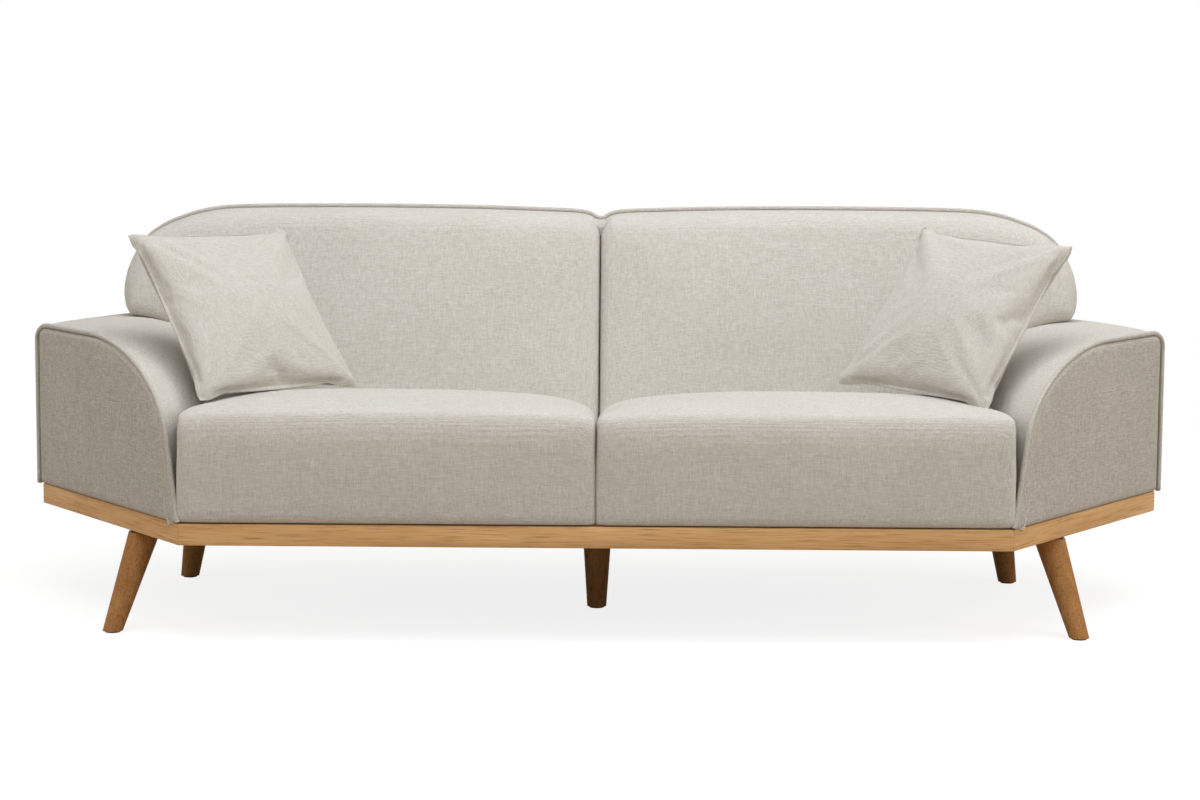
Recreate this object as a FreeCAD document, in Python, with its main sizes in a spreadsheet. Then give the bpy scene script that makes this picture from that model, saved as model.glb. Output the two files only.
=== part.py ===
import FreeCAD, Part
import math
import os
import re
import Sketcher

# Two-seat sofa: a mitred timber plinth on five turned legs carries a sprung seat frame, two
# hollow upholstered arms with angled fronts, a framed back and two loose throw pillows.
# Millimetres. The origin is on the floor under the middle of the sofa, +Z is up and the
# front faces -Y. Depths written "behind the front" are measured from the seat's front face.

SIZES = {
    # overall plan
    "overall_width": 2220, "overall_depth": 860, "seat_span": 1500, "rear_width": 1950,
    "corner_setback": 501,
    # timber plinth
    "leg_height": 176, "rail_height": 39, "rail_thickness": 28, "fabric_overhang": 6,
    # arms
    "arm_top": 526, "arm_lean": 9.5, "arm_roll_radius": 186, "arm_pad_thickness": 35,
    "panel_thickness": 26, "board_thickness": 18, "side_panel_thickness": 20,
    "piping_width": 8, "stretcher_width": 30, "stretcher_depth": 44,
    # seat
    "apron_thickness": 20, "bearer_width": 45, "bearer_height": 85, "cushion_top": 418,
    "seam_gap": 2, "wire_radius": 1.8, "spring_count": 10, "spring_loops": 11,
    "spring_pad_thickness": 4, "spring_half_width": 20,
    # back
    "back_top": 746, "back_width": 1934, "back_corner_radius": 180, "back_slope": 16.4,
    "back_base_depth": 254, "frame_depth": 78, "back_wall": 32, "back_panel_thickness": 17,
    "post_width": 45, "post_depth": 45, "top_rail_height": 32, "top_rail_reach": 32,
    "lower_rail_lift": 30, "webbing_width": 50, "webbing_thickness": 1.5,
    "wing_height": 120, "wing_width": 160,
    # legs
    "leg_top_radius": 29.5, "leg_foot_radius": 18.5, "front_leg_across": 838,
    "front_leg_behind": 186, "rear_leg_across": 804, "rear_leg_behind": 640,
    "center_leg_behind": 372, "front_splay_across": 45, "front_splay_along": 89,
    "rear_splay_across": 30, "rear_splay_along": 30, "glide_radius": 14, "glide_thickness": 3,
    "plate_size": 44, "plate_thickness": 3, "hanger_radius": 4, "hanger_in_leg": 34,
    "hanger_in_block": 24, "screw_radius": 2, "screw_length": 18, "screw_head_radius": 4,
    "screw_head_height": 2, "screw_spacing": 30,
    # throw pillows
    "pillow_size": 368, "pillow_thickness": 116, "pillow_edge": 14, "pillow_yaw": 45,
    "pillow_tilt": 37, "pillow_across": 674, "pillow_behind": 348,
    # fits
    "soft_gap": 0.3, "bolt_gap": 0.1, "arm_gap": 5, "post_gap": 5, "rail_gap": 8,
}

doc = FreeCAD.newDocument("sofa")
sheet = doc.addObject("Spreadsheet::Sheet", "Sizes")
for row, (alias, value) in enumerate(SIZES.items(), start=1):
    sheet.set(f"A{row}", alias.replace("_", " "))
    sheet.set(f"B{row}", str(value))
    sheet.setAlias(f"B{row}", alias)
doc.recompute()

nodes = []
SIDES = (("left", -1), ("right", 1))


def linked(text):
    """The same formula with each size's name pointing at its cell."""
    return re.sub(r"[a-z]+(_[a-z]+)+", lambda word: "Sizes." + word.group(), text)


def amount(text):
    """A formula's present value."""
    result = sheet.evalExpression(linked(text))
    return float(getattr(result, "Value", result))


def bind(obj, prop, text):
    obj.setExpression(prop, linked(text))


def keep(obj, label):
    """Name an object as one sub-part of the sofa."""
    obj.Label = label
    nodes.append(obj)
    return obj


# ---- plan lines, as formulas ---------------------------------------------------------------

REAR = "(overall_depth/2)"
FRONT = "(-overall_depth/2)"
ARM_SIDE = "(overall_width/2 - piping_width)"
FRONT_ANGLE = f"atan(corner_setback/({ARM_SIDE} - seat_span/2))"
SIDE_ANGLE = f"atan(({ARM_SIDE} - rear_width/2)/(overall_depth - corner_setback))"


def front_corner(inset):
    """Where the seat's front line meets the arm's angled front, both moved in by inset."""
    return f"(seat_span/2 - ({inset})*tan({FRONT_ANGLE}/2))", f"({FRONT} + ({inset}))"


def arm_corner(front_inset, side_inset):
    """Where the arm's angled front meets its tapering side."""
    spread = f"cos({FRONT_ANGLE} - {SIDE_ANGLE})"
    across = f"(({front_inset})*sin({SIDE_ANGLE}) + ({side_inset})*cos({FRONT_ANGLE}))/{spread}"
    along = f"(({front_inset})*cos({SIDE_ANGLE}) - ({side_inset})*sin({FRONT_ANGLE}))/{spread}"
    return f"({ARM_SIDE} - {across})", f"({FRONT} + corner_setback + {along})"


def on_front_line(across, inset):
    """The point of the arm's angled front line, moved in by inset, at a distance across."""
    along = f"(({inset}) + (({across}) - seat_span/2)*sin({FRONT_ANGLE}))/cos({FRONT_ANGLE})"
    return f"({across})", f"({FRONT} + {along})"


def on_side_line(along, inset):
    """The point of the arm's side line, moved in by inset, at a place along the depth."""
    shift = f"(({inset}) + (({along}) - {REAR})*sin({SIDE_ANGLE}))/cos({SIDE_ANGLE})"
    return f"(rear_width/2 - {shift})", f"({along})"


def mirrored(points, side):
    return [(f"({side})*{across}", up) for across, up in points]


# ---- ways of making a solid ----------------------------------------------------------------

def prism(name, plane, points, start, end):
    """A body: a polygon drawn on one of its base planes and padded from start to end."""
    body = doc.addObject("PartDesign::Body", name)
    sketch = body.newObject("Sketcher::SketchObject", name + "_sketch")
    base = [item for item in body.Origin.OriginFeatures if item.Role == plane + "_Plane"][0]
    sketch.AttachmentSupport = [(base, "")]
    sketch.MapMode = "FlatFace"
    corners = [FreeCAD.Vector(amount(a), amount(b), 0) for a, b in points]
    count = len(corners)
    for index in range(count):
        sketch.addGeometry(Part.LineSegment(corners[index], corners[(index + 1) % count]), False)
    for index in range(count):
        following = (index + 1) % count
        sketch.addConstraint(Sketcher.Constraint("Coincident", index, 2, following, 1))
    for index, (across, up) in enumerate(points):
        for kind, text in (("DistanceX", across), ("DistanceY", up)):
            place = Sketcher.Constraint(kind, -1, 1, index, 1, amount(text))
            number = sketch.addConstraint(place)
            bind(sketch, f"Constraints[{number}]", text)
    # the XZ plane faces -Y, so there the pad runs backwards
    away = f"-({end})" if plane == "XZ" else start
    bind(sketch, "AttachmentOffset.Base.z", away)
    pad = body.newObject("PartDesign::Pad", name + "_pad")
    pad.Profile = sketch
    bind(pad, "Length", f"({end}) - ({start})")
    body.Tip = pad
    doc.recompute()
    return body


def rounded(body, radius, chosen):
    """Round the edges of a body that pass the test."""
    solid = body.Tip
    picked = [f"Edge{n}" for n, edge in enumerate(body.Shape.Edges, start=1) if chosen(edge)]
    fillet = body.newObject("PartDesign::Fillet", body.Name + "_round")
    fillet.Base = (solid, picked)
    bind(fillet, "Radius", radius)
    body.Tip = fillet
    doc.recompute()
    return body


def lies_at(**where):
    """A test for edges whose middle has the given coordinates."""
    def test(edge):
        middle = edge.CenterOfMass
        return all(abs(getattr(middle, axis) - value) < 0.01 for axis, value in where.items())
    return test


def boolean(kind, name, base, tool):
    """Part::Cut or Part::Common of two objects."""
    result = doc.addObject("Part::" + kind, name)
    result.Base = base
    result.Tool = tool
    doc.recompute()
    return result


def block(name, corner, extent):
    """A rectangular piece of stock, from its lowest corner."""
    box = doc.addObject("Part::Box", name)
    for prop, text in zip(("Length", "Width", "Height"), extent):
        bind(box, prop, text)
    for axis, text in zip("xyz", corner):
        bind(box, "Placement.Base." + axis, text)
    return box


def group(label, members):
    """Several identical or paired pieces that share one node."""
    compound = doc.addObject("Part::Compound", label)
    compound.Links = members
    return keep(compound, label)


def shaped(label, shapes):
    """A group whose repeated solids are copies of one shape."""
    feature = doc.addObject("Part::Feature", label)
    feature.Shape = Part.makeCompound(shapes) if len(shapes) > 1 else shapes[0]
    return keep(feature, label)


# ---- legs, their plates, bolts, screws and felt glides ---------------------------------------

BASE_TOP = "(leg_height + rail_height)"
OUTER = "fabric_overhang"
INNER = "(fabric_overhang + rail_thickness)"
RAIL_SPAN = ("leg_height", BASE_TOP)
FRONT_LEG = ("front_leg_across", f"({FRONT} + front_leg_behind)")
REAR_LEG = ("rear_leg_across", f"({FRONT} + rear_leg_behind)")
CENTER_LEG = ("0", f"({FRONT} + center_leg_behind)")
LEG_TOP = "(leg_height - plate_thickness)"


def turned_leg(label, top, foot):
    """A tapered round leg between two level circles, drilled from above for its bolt."""
    body = doc.addObject("PartDesign::Body", label + "_turned")
    base = [item for item in body.Origin.OriginFeatures if item.Role == "XY_Plane"][0]
    rings = []
    rings_wanted = (("foot", foot, "leg_foot_radius", "glide_thickness"),
                    ("top", top, "leg_top_radius", LEG_TOP))
    for ring, (across, along), radius, height in rings_wanted:
        sketch = body.newObject("Sketcher::SketchObject", f"{label}_{ring}")
        sketch.AttachmentSupport = [(base, "")]
        sketch.MapMode = "FlatFace"
        bind(sketch, "AttachmentOffset.Base.z", height)
        middle = FreeCAD.Vector(amount(across), amount(along), 0)
        sketch.addGeometry(Part.Circle(middle, FreeCAD.Vector(0, 0, 1), amount(radius)), False)
        for kind, text in (("DistanceX", across), ("DistanceY", along)):
            number = sketch.addConstraint(Sketcher.Constraint(kind, -1, 1, 0, 3, amount(text)))
            bind(sketch, f"Constraints[{number}]", text)
        number = sketch.addConstraint(Sketcher.Constraint("Radius", 0, amount(radius)))
        bind(sketch, f"Constraints[{number}]", radius)
        rings.append(sketch)
    loft = body.newObject("PartDesign::AdditiveLoft", label + "_loft")
    loft.Profile = rings[0]
    loft.Sections = [rings[1]]
    loft.Ruled = True
    body.Tip = loft
    doc.recompute()
    drill = doc.addObject("Part::Cylinder", label + "_drill")
    bind(drill, "Radius", "hanger_radius + bolt_gap")
    bind(drill, "Height", "hanger_in_leg + plate_thickness")
    bind(drill, "Placement.Base.x", top[0])
    bind(drill, "Placement.Base.y", top[1])
    bind(drill, "Placement.Base.z", f"{LEG_TOP} - hanger_in_leg")
    return keep(boolean("Cut", label + "_bored", body, drill), label)


def leg_places():
    """Label, top centre and foot centre of each leg, as formulas."""
    places = []
    for word, side in SIDES:
        for end, (across, along), forwards in (("front", FRONT_LEG, -1), ("rear", REAR_LEG, 1)):
            top = (f"({side})*{across}", along)
            foot = (f"({side})*({across} + {end}_splay_across)",
                    f"({along} + ({forwards})*{end}_splay_along)")
            places.append((f"leg_{end}_{word}", top, foot))
    places.append(("leg_center", CENTER_LEG, CENTER_LEG))
    return places


plates = []
glides = []
bolts = []
screws = []
for label, top, foot in leg_places():
    turned_leg(label, top, foot)
    drill = doc.addObject("Part::Cylinder", label + "_plate_hole")
    bind(drill, "Radius", "hanger_radius + bolt_gap")
    bind(drill, "Height", "3*plate_thickness")
    for axis, text in zip("xyz", (top[0], top[1], f"{LEG_TOP} - plate_thickness")):
        bind(drill, "Placement.Base." + axis, text)
    plate = block(label + "_plate_blank",
                  (f"{top[0]} - plate_size/2", f"{top[1]} - plate_size/2", LEG_TOP),
                  ("plate_size", "plate_size", "plate_thickness"))
    plate = boolean("Cut", label + "_plate_bored", plate, drill)
    x, y = amount(top[0]), amount(top[1])
    half = sheet.screw_spacing / 2
    holes = []
    for dx, dy in ((-half, -half), (half, -half), (half, half), (-half, half)):
        spot = FreeCAD.Vector(x + dx, y + dy, amount(LEG_TOP))
        sign_x, sign_y = int(math.copysign(1, dx)), int(math.copysign(1, dy))
        for radius, height in (("screw_radius + bolt_gap", "3*plate_thickness"),
                               ("screw_head_radius + bolt_gap",
                                "plate_thickness + screw_head_height")):
            hole = doc.addObject("Part::Cylinder", label + "_screw_hole")
            bind(hole, "Radius", radius)
            bind(hole, "Height", height)
            bind(hole, "Placement.Base.x", f"{top[0]} + ({sign_x})*screw_spacing/2")
            bind(hole, "Placement.Base.y", f"{top[1]} + ({sign_y})*screw_spacing/2")
            bind(hole, "Placement.Base.z", f"{LEG_TOP} - plate_thickness")
            holes.append(hole)
        head = Part.makeCylinder(sheet.screw_head_radius, sheet.screw_head_height, spot)
        shank = Part.makeCylinder(sheet.screw_radius, sheet.screw_length, spot)
        screws.append(head.fuse(shank).removeSplitter())
    drilled = doc.addObject("Part::MultiFuse", label + "_screw_holes")
    drilled.Shapes = holes
    plates.append(boolean("Cut", label + "_plate", plate, drilled))
    bolt_foot = FreeCAD.Vector(x, y, amount(LEG_TOP) - sheet.hanger_in_leg)
    bolt_length = sheet.hanger_in_leg + sheet.plate_thickness + sheet.hanger_in_block
    bolts.append(Part.makeCylinder(sheet.hanger_radius, bolt_length, bolt_foot))
    glide = doc.addObject("Part::Cylinder", label + "_glide")
    bind(glide, "Radius", "glide_radius")
    bind(glide, "Height", "glide_thickness")
    bind(glide, "Placement.Base.x", foot[0])
    bind(glide, "Placement.Base.y", foot[1])
    glides.append(glide)
group("leg_plates", plates)
group("felt_glides", glides)
shaped("hanger_bolts", bolts)
shaped("plate_screws", screws)


def drilled_for_bolts(name, blank, places):
    """A timber block bored for the hanger bolt and plate screws of each leg under it."""
    tools = []
    for across, along in places:
        bores = [("hanger_radius + bolt_gap", "hanger_in_block + bolt_gap", 0, 0)]
        for sign_x in (-1, 1):
            for sign_y in (-1, 1):
                bores.append(("screw_radius + bolt_gap",
                              "screw_length - plate_thickness + bolt_gap", sign_x, sign_y))
        for radius, height, sign_x, sign_y in bores:
            bore = doc.addObject("Part::Cylinder", name + "_bore")
            bind(bore, "Radius", radius)
            bind(bore, "Height", height)
            bind(bore, "Placement.Base.x", f"{across} + ({sign_x})*screw_spacing/2")
            bind(bore, "Placement.Base.y", f"{along} + ({sign_y})*screw_spacing/2")
            bind(bore, "Placement.Base.z", "leg_height")
            tools.append(bore)
    fused = doc.addObject("Part::MultiFuse", name + "_bores")
    fused.Shapes = tools
    return boolean("Cut", name, blank, fused)


# ---- plinth: six rails with mitred corners ---------------------------------------------------

def rail_end(inset):
    return on_side_line(f"({REAR} - {inset})", inset)


front_points = [front_corner(OUTER), front_corner(INNER)]
front_outline = mirrored(front_points, -1) + list(reversed(front_points))
keep(prism("rail_front", "XY", front_outline, *RAIL_SPAN), "rail_front")
rear_points = [rail_end(OUTER), rail_end(INNER)]
rear_outline = mirrored(rear_points, -1) + list(reversed(rear_points))
keep(prism("rail_rear", "XY", rear_outline, *RAIL_SPAN), "rail_rear")
for word, side in SIDES:
    corners = [front_corner(OUTER), arm_corner(OUTER, OUTER),
               arm_corner(INNER, INNER), front_corner(INNER)]
    blank = prism("rail_angled_blank_" + word, "XY", mirrored(corners, side), *RAIL_SPAN)
    place = (f"({side})*{FRONT_LEG[0]}", FRONT_LEG[1])
    keep(drilled_for_bolts("rail_angled_bored_" + word, blank, [place]), "rail_angled_" + word)
    corners = [arm_corner(OUTER, OUTER), rail_end(OUTER), rail_end(INNER), arm_corner(INNER, INNER)]
    label = "rail_side_" + word
    keep(prism(label, "XY", mirrored(corners, side), *RAIL_SPAN), label)

# timber platforms in the plinth's corners, which the outer legs screw to
PLATFORM_INNER = "(seat_span/2 - 2*bearer_width)"
platforms = []
for word, side in SIDES:
    outer_x = "(front_leg_across + plate_size/2 + rail_thickness)"
    rear_y = f"({FRONT_LEG[1]} + plate_size/2 + rail_thickness)"
    outline = [(PLATFORM_INNER, f"({FRONT} + {INNER})"), front_corner(INNER),
               on_front_line(outer_x, INNER), (outer_x, f"({rear_y} + rail_thickness)"),
               (PLATFORM_INNER, f"({rear_y} + rail_thickness)")]
    blank = prism(f"front_platform_{word}", "XY", mirrored(outline, side), *RAIL_SPAN)
    place = (f"({side})*{FRONT_LEG[0]}", FRONT_LEG[1])
    platforms.append(drilled_for_bolts(f"front_platform_{word}_bored", blank, [place]))
    low = f"({REAR_LEG[1]} - plate_size)"
    high = f"({REAR_LEG[1]} + plate_size)"
    inner_x = "(rear_leg_across - plate_size)"
    outline = [(inner_x, low), on_side_line(low, INNER), on_side_line(high, INNER),
               (inner_x, high)]
    blank = prism(f"rear_platform_{word}", "XY", mirrored(outline, side), *RAIL_SPAN)
    place = (f"({side})*{REAR_LEG[0]}", REAR_LEG[1])
    platforms.append(drilled_for_bolts(f"rear_platform_{word}_bored", blank, [place]))
group("leg_platforms", platforms)

cross_low = f"{FRONT} + {INNER}"
cross = block("cross_rail_blank", ("-plate_size/2", cross_low, "leg_height"),
              ("plate_size", f"overall_depth - 2*{INNER}", "rail_height"))
keep(drilled_for_bolts("center_cross_rail", cross, [CENTER_LEG]), "center_cross_rail")

# ---- seat frame: bearers on the plinth, sinuous springs, clips and pad -----------------------

BEARER_TOP = f"({BASE_TOP} + bearer_height)"
APRON_REAR = f"({FRONT} + apron_thickness)"
REAR_BEARER = f"({REAR} - back_base_depth + bearer_width/2)"
END_INNER = "(seat_span/2 - bearer_width - arm_gap)"
PANEL_FRONT = f"({REAR} - back_panel_thickness)"
keep(block("seat_front_bearer", (f"-{END_INNER}", APRON_REAR, BASE_TOP),
           (f"2*{END_INNER}", "bearer_width", "bearer_height")), "seat_front_bearer")
keep(block("seat_rear_bearer", (f"-{END_INNER}", REAR_BEARER, BASE_TOP),
           (f"2*{END_INNER}", "bearer_width", "bearer_height")), "seat_rear_bearer")
for word, side in SIDES:
    low_x = END_INNER if side > 0 else f"-{END_INNER} - bearer_width"
    label = "seat_end_bearer_" + word
    keep(block(label, (low_x, APRON_REAR, BASE_TOP),
               ("bearer_width", f"{PANEL_FRONT} - {APRON_REAR}", "bearer_height")), label)
SPRING_CLEARANCE = 10
keep(block("seat_center_bearer", ("-bearer_width/2", f"{APRON_REAR} + bearer_width", BASE_TOP),
           ("bearer_width", f"{REAR_BEARER} - {APRON_REAR} - bearer_width",
            f"bearer_height - {SPRING_CLEARANCE}")), "seat_center_bearer")


def sinuous_spring(across):
    """One zigzag wire spring lying on the front and rear bearers, with round turns."""
    start = amount(f"{APRON_REAR} + bearer_width/2")
    end = amount(f"{REAR_BEARER} + bearer_width/2")
    height = amount(f"{BEARER_TOP} + wire_radius")
    loops = int(sheet.spring_loops)
    reach = sheet.spring_half_width
    pitch = (end - start) / loops
    radius = pitch / 2
    edges = []
    turn = 1
    point = FreeCAD.Vector(across - reach, start, height)
    for index in range(loops):
        straight_end = FreeCAD.Vector(across + turn * reach, point.y, height)
        edges.append(Part.makeLine(point, straight_end))
        bulge = FreeCAD.Vector(straight_end.x + turn * radius, point.y + radius, height)
        following = FreeCAD.Vector(straight_end.x, point.y + pitch, height)
        edges.append(Part.Arc(straight_end, bulge, following).toShape())
        point = following
        turn = -turn
    edges.append(Part.makeLine(point, FreeCAD.Vector(across + turn * reach, end, height)))
    path = Part.Wire(edges)
    ring = Part.Circle(edges[0].Vertexes[0].Point, FreeCAD.Vector(1, 0, 0), sheet.wire_radius)
    return path.makePipeShell([Part.Wire(ring.toShape())], True, False)


count = int(sheet.spring_count)
spring_pitch = 2 * amount(END_INNER) / count
spring_places = [(index + 0.5) * spring_pitch - amount(END_INNER) for index in range(count)]
springs = [sinuous_spring(across) for across in spring_places]
shaped("seat_springs", springs)

CLIP_LENGTH = 20
CLIP_WIDTH = 16
CLIP_WALL = 1.4
clips = []
for across in spring_places:
    for middle in (f"{APRON_REAR} + bearer_width/2", f"{REAR_BEARER} + bearer_width/2"):
        along = amount(middle)
        height = 2 * (sheet.wire_radius + CLIP_WALL)
        corner = FreeCAD.Vector(across - CLIP_LENGTH / 2, along - CLIP_WIDTH / 2,
                                amount(BEARER_TOP))
        clip = Part.makeBox(CLIP_LENGTH, CLIP_WIDTH, height, corner)
        tunnel = Part.makeCylinder(sheet.wire_radius + sheet.bolt_gap, 2 * CLIP_LENGTH,
                                   FreeCAD.Vector(across - CLIP_LENGTH, along,
                                                  amount(f"{BEARER_TOP} + wire_radius")),
                                   FreeCAD.Vector(1, 0, 0))
        clips.append(clip.cut(tunnel))
shaped("spring_clips", clips)

PAD_BOTTOM = f"({BEARER_TOP} + 2*wire_radius + soft_gap)"
FOAM_BOTTOM = f"({PAD_BOTTOM} + spring_pad_thickness)"
keep(block("spring_pad", (f"-{END_INNER}", f"{APRON_REAR} + bearer_width", PAD_BOTTOM),
           (f"2*{END_INNER}", f"{REAR_BEARER} - {APRON_REAR} - bearer_width",
            "spring_pad_thickness")), "spring_pad")


def back_face(height):
    """Where the back's sloping face lies at a height."""
    rise = f"(({height}) - {FOAM_BOTTOM})*tan(back_slope)"
    return f"({REAR} - back_base_depth + {rise})"


# seat cushions: a crowned top pad whose front roll drops as an apron to the plinth
CUSHION_ROUND = 40
CLIP_ROOM = 3
for word, side in SIDES:
    outline = [(FRONT, BASE_TOP), (FRONT, "cushion_top"),
               (f"({back_face('cushion_top')} - soft_gap)", "cushion_top"),
               (f"({back_face(FOAM_BOTTOM)} - soft_gap)", f"({FOAM_BOTTOM} + {CLIP_ROOM})"),
               (APRON_REAR, f"({FOAM_BOTTOM} + {CLIP_ROOM})"), (APRON_REAR, BASE_TOP)]
    near = "seam_gap/2"
    far = "seat_span/2 - piping_width - soft_gap"
    span = (near, far) if side > 0 else (f"-({far})", f"-({near})")
    label = "seat_cushion_" + word
    cushion = prism(label, "YZ", outline, *span)
    front_top = lies_at(y=amount(FRONT), z=sheet.cushion_top)
    keep(rounded(cushion, str(CUSHION_ROUND), front_top), label)

# ---- arms ------------------------------------------------------------------------------------

BEYOND = "(overall_width/2 + 60)"


def arm_profile(name, side, inset):
    """The arm's cross-section, moved in by inset: a leaning inner face rolling into the top."""
    shift = f"({inset})/cos(arm_lean)"
    low = f"(seat_span/2 + {shift})"
    top = f"(arm_top - ({inset}))"
    high = f"(seat_span/2 + {shift} + ({top} - {BASE_TOP})*tan(arm_lean))"
    outline = [(low, BASE_TOP), (high, top), (BEYOND, top), (BEYOND, BASE_TOP)]
    span = (f"({FRONT} - {BEYOND})", f"({REAR} + 60)")
    body = prism(name, "XZ", mirrored(outline, side), *span)
    roll = lies_at(x=side * amount(high), z=amount(top))
    return rounded(body, f"arm_roll_radius - ({inset})", roll)


def arm_region(name, side, points):
    """A piece of the arm's plan, as tall as the arm."""
    return prism(name, "XY", mirrored(points, side), BASE_TOP, "(arm_top + 2*piping_width)")


INNER_LIMIT = "(seat_span/2 - bearer_width)"
PAD = "arm_pad_thickness"
BEHIND_PANEL = "panel_thickness"
BEHIND_BOARD = "(panel_thickness + board_thickness)"
REAR_BOARD = f"({PANEL_FRONT} - board_thickness)"


def strip(front_inset, rear, side_inset):
    """Plan of the arm between a line behind its front and a line across its rear."""
    return [on_front_line(INNER_LIMIT, front_inset), arm_corner(front_inset, side_inset),
            on_side_line(rear, side_inset), (INNER_LIMIT, rear)]


def slab(front_inset, rear_inset, side_inset):
    """Plan of a layer that lies along the arm's angled front."""
    return [on_front_line(INNER_LIMIT, front_inset), arm_corner(front_inset, side_inset),
            arm_corner(rear_inset, side_inset), on_front_line(INNER_LIMIT, rear_inset)]


for word, side in SIDES:
    whole = arm_profile(f"arm_whole_{word}", side, "0")
    core = arm_profile(f"arm_core_{word}", side, PAD)
    shell = boolean("Cut", f"arm_shell_{word}", whole, core)

    region = arm_region(f"arm_pad_plan_{word}", side, strip(BEHIND_PANEL, PANEL_FRONT, "0"))
    keep(boolean("Common", "arm_pad_" + word, shell, region), "arm_pad_" + word)

    region = arm_region(f"panel_plan_{word}", side, slab("0", BEHIND_PANEL, "0"))
    label = "arm_front_panel_" + word
    keep(boolean("Common", label, whole, region), label)

    region = arm_region(f"board_plan_{word}", side,
                        slab(BEHIND_PANEL, BEHIND_BOARD, "side_panel_thickness"))
    label = "arm_front_board_" + word
    keep(boolean("Common", label, core, region), label)

    outline = [arm_corner(BEHIND_PANEL, "0"), on_side_line(PANEL_FRONT, "0"),
               on_side_line(PANEL_FRONT, "side_panel_thickness"),
               arm_corner(BEHIND_PANEL, "side_panel_thickness")]
    region = arm_region(f"side_plan_{word}", side, outline)
    label = "arm_outer_panel_" + word
    keep(boolean("Common", label, core, region), label)

    outline = [(INNER_LIMIT, REAR_BOARD), on_side_line(REAR_BOARD, "side_panel_thickness"),
               on_side_line(PANEL_FRONT, "side_panel_thickness"), (INNER_LIMIT, PANEL_FRONT)]
    region = arm_region(f"rear_board_plan_{word}", side, outline)
    label = "arm_rear_board_" + word
    keep(boolean("Common", label, core, region), label)

    outline = [(INNER_LIMIT, PANEL_FRONT), on_side_line(PANEL_FRONT, "0"),
               on_side_line(REAR, "0"), (INNER_LIMIT, REAR)]
    region = arm_region(f"arm_rear_plan_{word}", side, outline)
    label = "arm_rear_panel_" + word
    keep(boolean("Common", label, whole, region), label)

    # battens that tie the front board to the rear board
    region = arm_region(f"stretcher_plan_{word}", side,
                        strip(BEHIND_BOARD, REAR_BOARD, "side_panel_thickness"))
    hollow = boolean("Common", f"arm_hollow_{word}", core, region)
    ceiling = "(arm_top - arm_pad_thickness)"
    outer_x = "(rear_width/2 - 2*side_panel_thickness - stretcher_width)"
    inner_x = "(seat_span/2 + 2*arm_pad_thickness)"
    middle_z = f"({BASE_TOP} + stretcher_depth)"
    battens = []
    for number, (across, up) in enumerate(((outer_x, f"({ceiling} - stretcher_depth)"),
                                           (outer_x, BASE_TOP), (inner_x, middle_z))):
        left_x = across if side > 0 else f"-{across} - stretcher_width"
        bar = block(f"stretcher_bar_{word}_{number}", (left_x, FRONT, up),
                    ("stretcher_width", "overall_depth", "stretcher_depth"))
        battens.append(boolean("Common", f"stretcher_{word}_{number}", bar, hollow))
    group("arm_stretchers_" + word, battens)

    # welt round the front panel: up the inner curve, along the top and down the outer edge
    swollen = arm_profile(f"welt_outer_{word}", side, "-piping_width")
    seat_corner = on_front_line("(seat_span/2)", "piping_width")
    outline = [(INNER_LIMIT, FRONT), front_corner("0"), on_front_line("(overall_width/2)", "0"),
               ("(overall_width/2)", arm_corner("piping_width", "-piping_width")[1]),
               seat_corner, (INNER_LIMIT, seat_corner[1])]
    region = arm_region(f"welt_plan_{word}", side, outline)
    swollen = boolean("Common", f"welt_solid_{word}", swollen, region)
    outline = [(INNER_LIMIT, f"({FRONT} - {BEYOND})"), (ARM_SIDE, f"({FRONT} - {BEYOND})"),
               (ARM_SIDE, REAR), (INNER_LIMIT, REAR)]
    region = arm_region(f"welt_core_plan_{word}", side, outline)
    inside = boolean("Common", f"welt_core_{word}", whole, region)
    label = "piping_arm_" + word
    keep(boolean("Cut", label, swollen, inside), label)

# ---- back ------------------------------------------------------------------------------------

BACK_SIDE = "(back_width/2)"
CAVITY_TOP = "(back_top - back_wall)"
FOAM_REAR = f"({PANEL_FRONT} - frame_depth)"


def back_outline(inset, side=None):
    """The back's upright outline, moved in by inset: the whole of it, or one side's half."""
    across = f"({BACK_SIDE} - ({inset}))"
    up = f"(back_top - ({inset}))"
    low = f"({FOAM_BOTTOM} - ({inset}))"
    if side is None:
        return [(across, low), (across, up), (f"-{across}", up), (f"-{across}", low)]
    return mirrored([("seam_gap/2", low), ("seam_gap/2", up), (across, up), (across, low)], side)


def round_shoulder(body, side, inset="0"):
    """Round the outer upper corner of the back's outline on one side."""
    across = side * amount(f"{BACK_SIDE} - ({inset})")
    corner = lies_at(x=across, z=amount(f"back_top - ({inset})"))
    return rounded(body, f"back_corner_radius - ({inset})", corner)


# front cushions: sloping faces that rest on the seat behind its cushions and on the arms
envelopes = []
for word, side in SIDES:
    envelope = arm_profile(f"arm_envelope_{word}", side, "-soft_gap")
    envelopes.append(envelope)
    front = f"({REAR} - back_base_depth)"
    blank = prism(f"back_blank_{word}", "XZ", back_outline("0", side), front, FOAM_REAR)
    blank = round_shoulder(blank, side)
    slope = [(back_face(FOAM_BOTTOM), FOAM_BOTTOM), (back_face("back_top"), "back_top"),
             (FOAM_REAR, "back_top"), (FOAM_REAR, FOAM_BOTTOM)]
    wedge = prism(f"back_wedge_{word}", "YZ", slope, "-overall_width/2", "overall_width/2")
    sloped = boolean("Common", f"back_sloped_{word}", blank, wedge)
    keep(boolean("Cut", f"back_trimmed_{word}", sloped, envelope), "back_cushion_" + word)
both_arms = doc.addObject("Part::MultiFuse", "both_arm_envelopes")
both_arms.Shapes = envelopes

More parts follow.
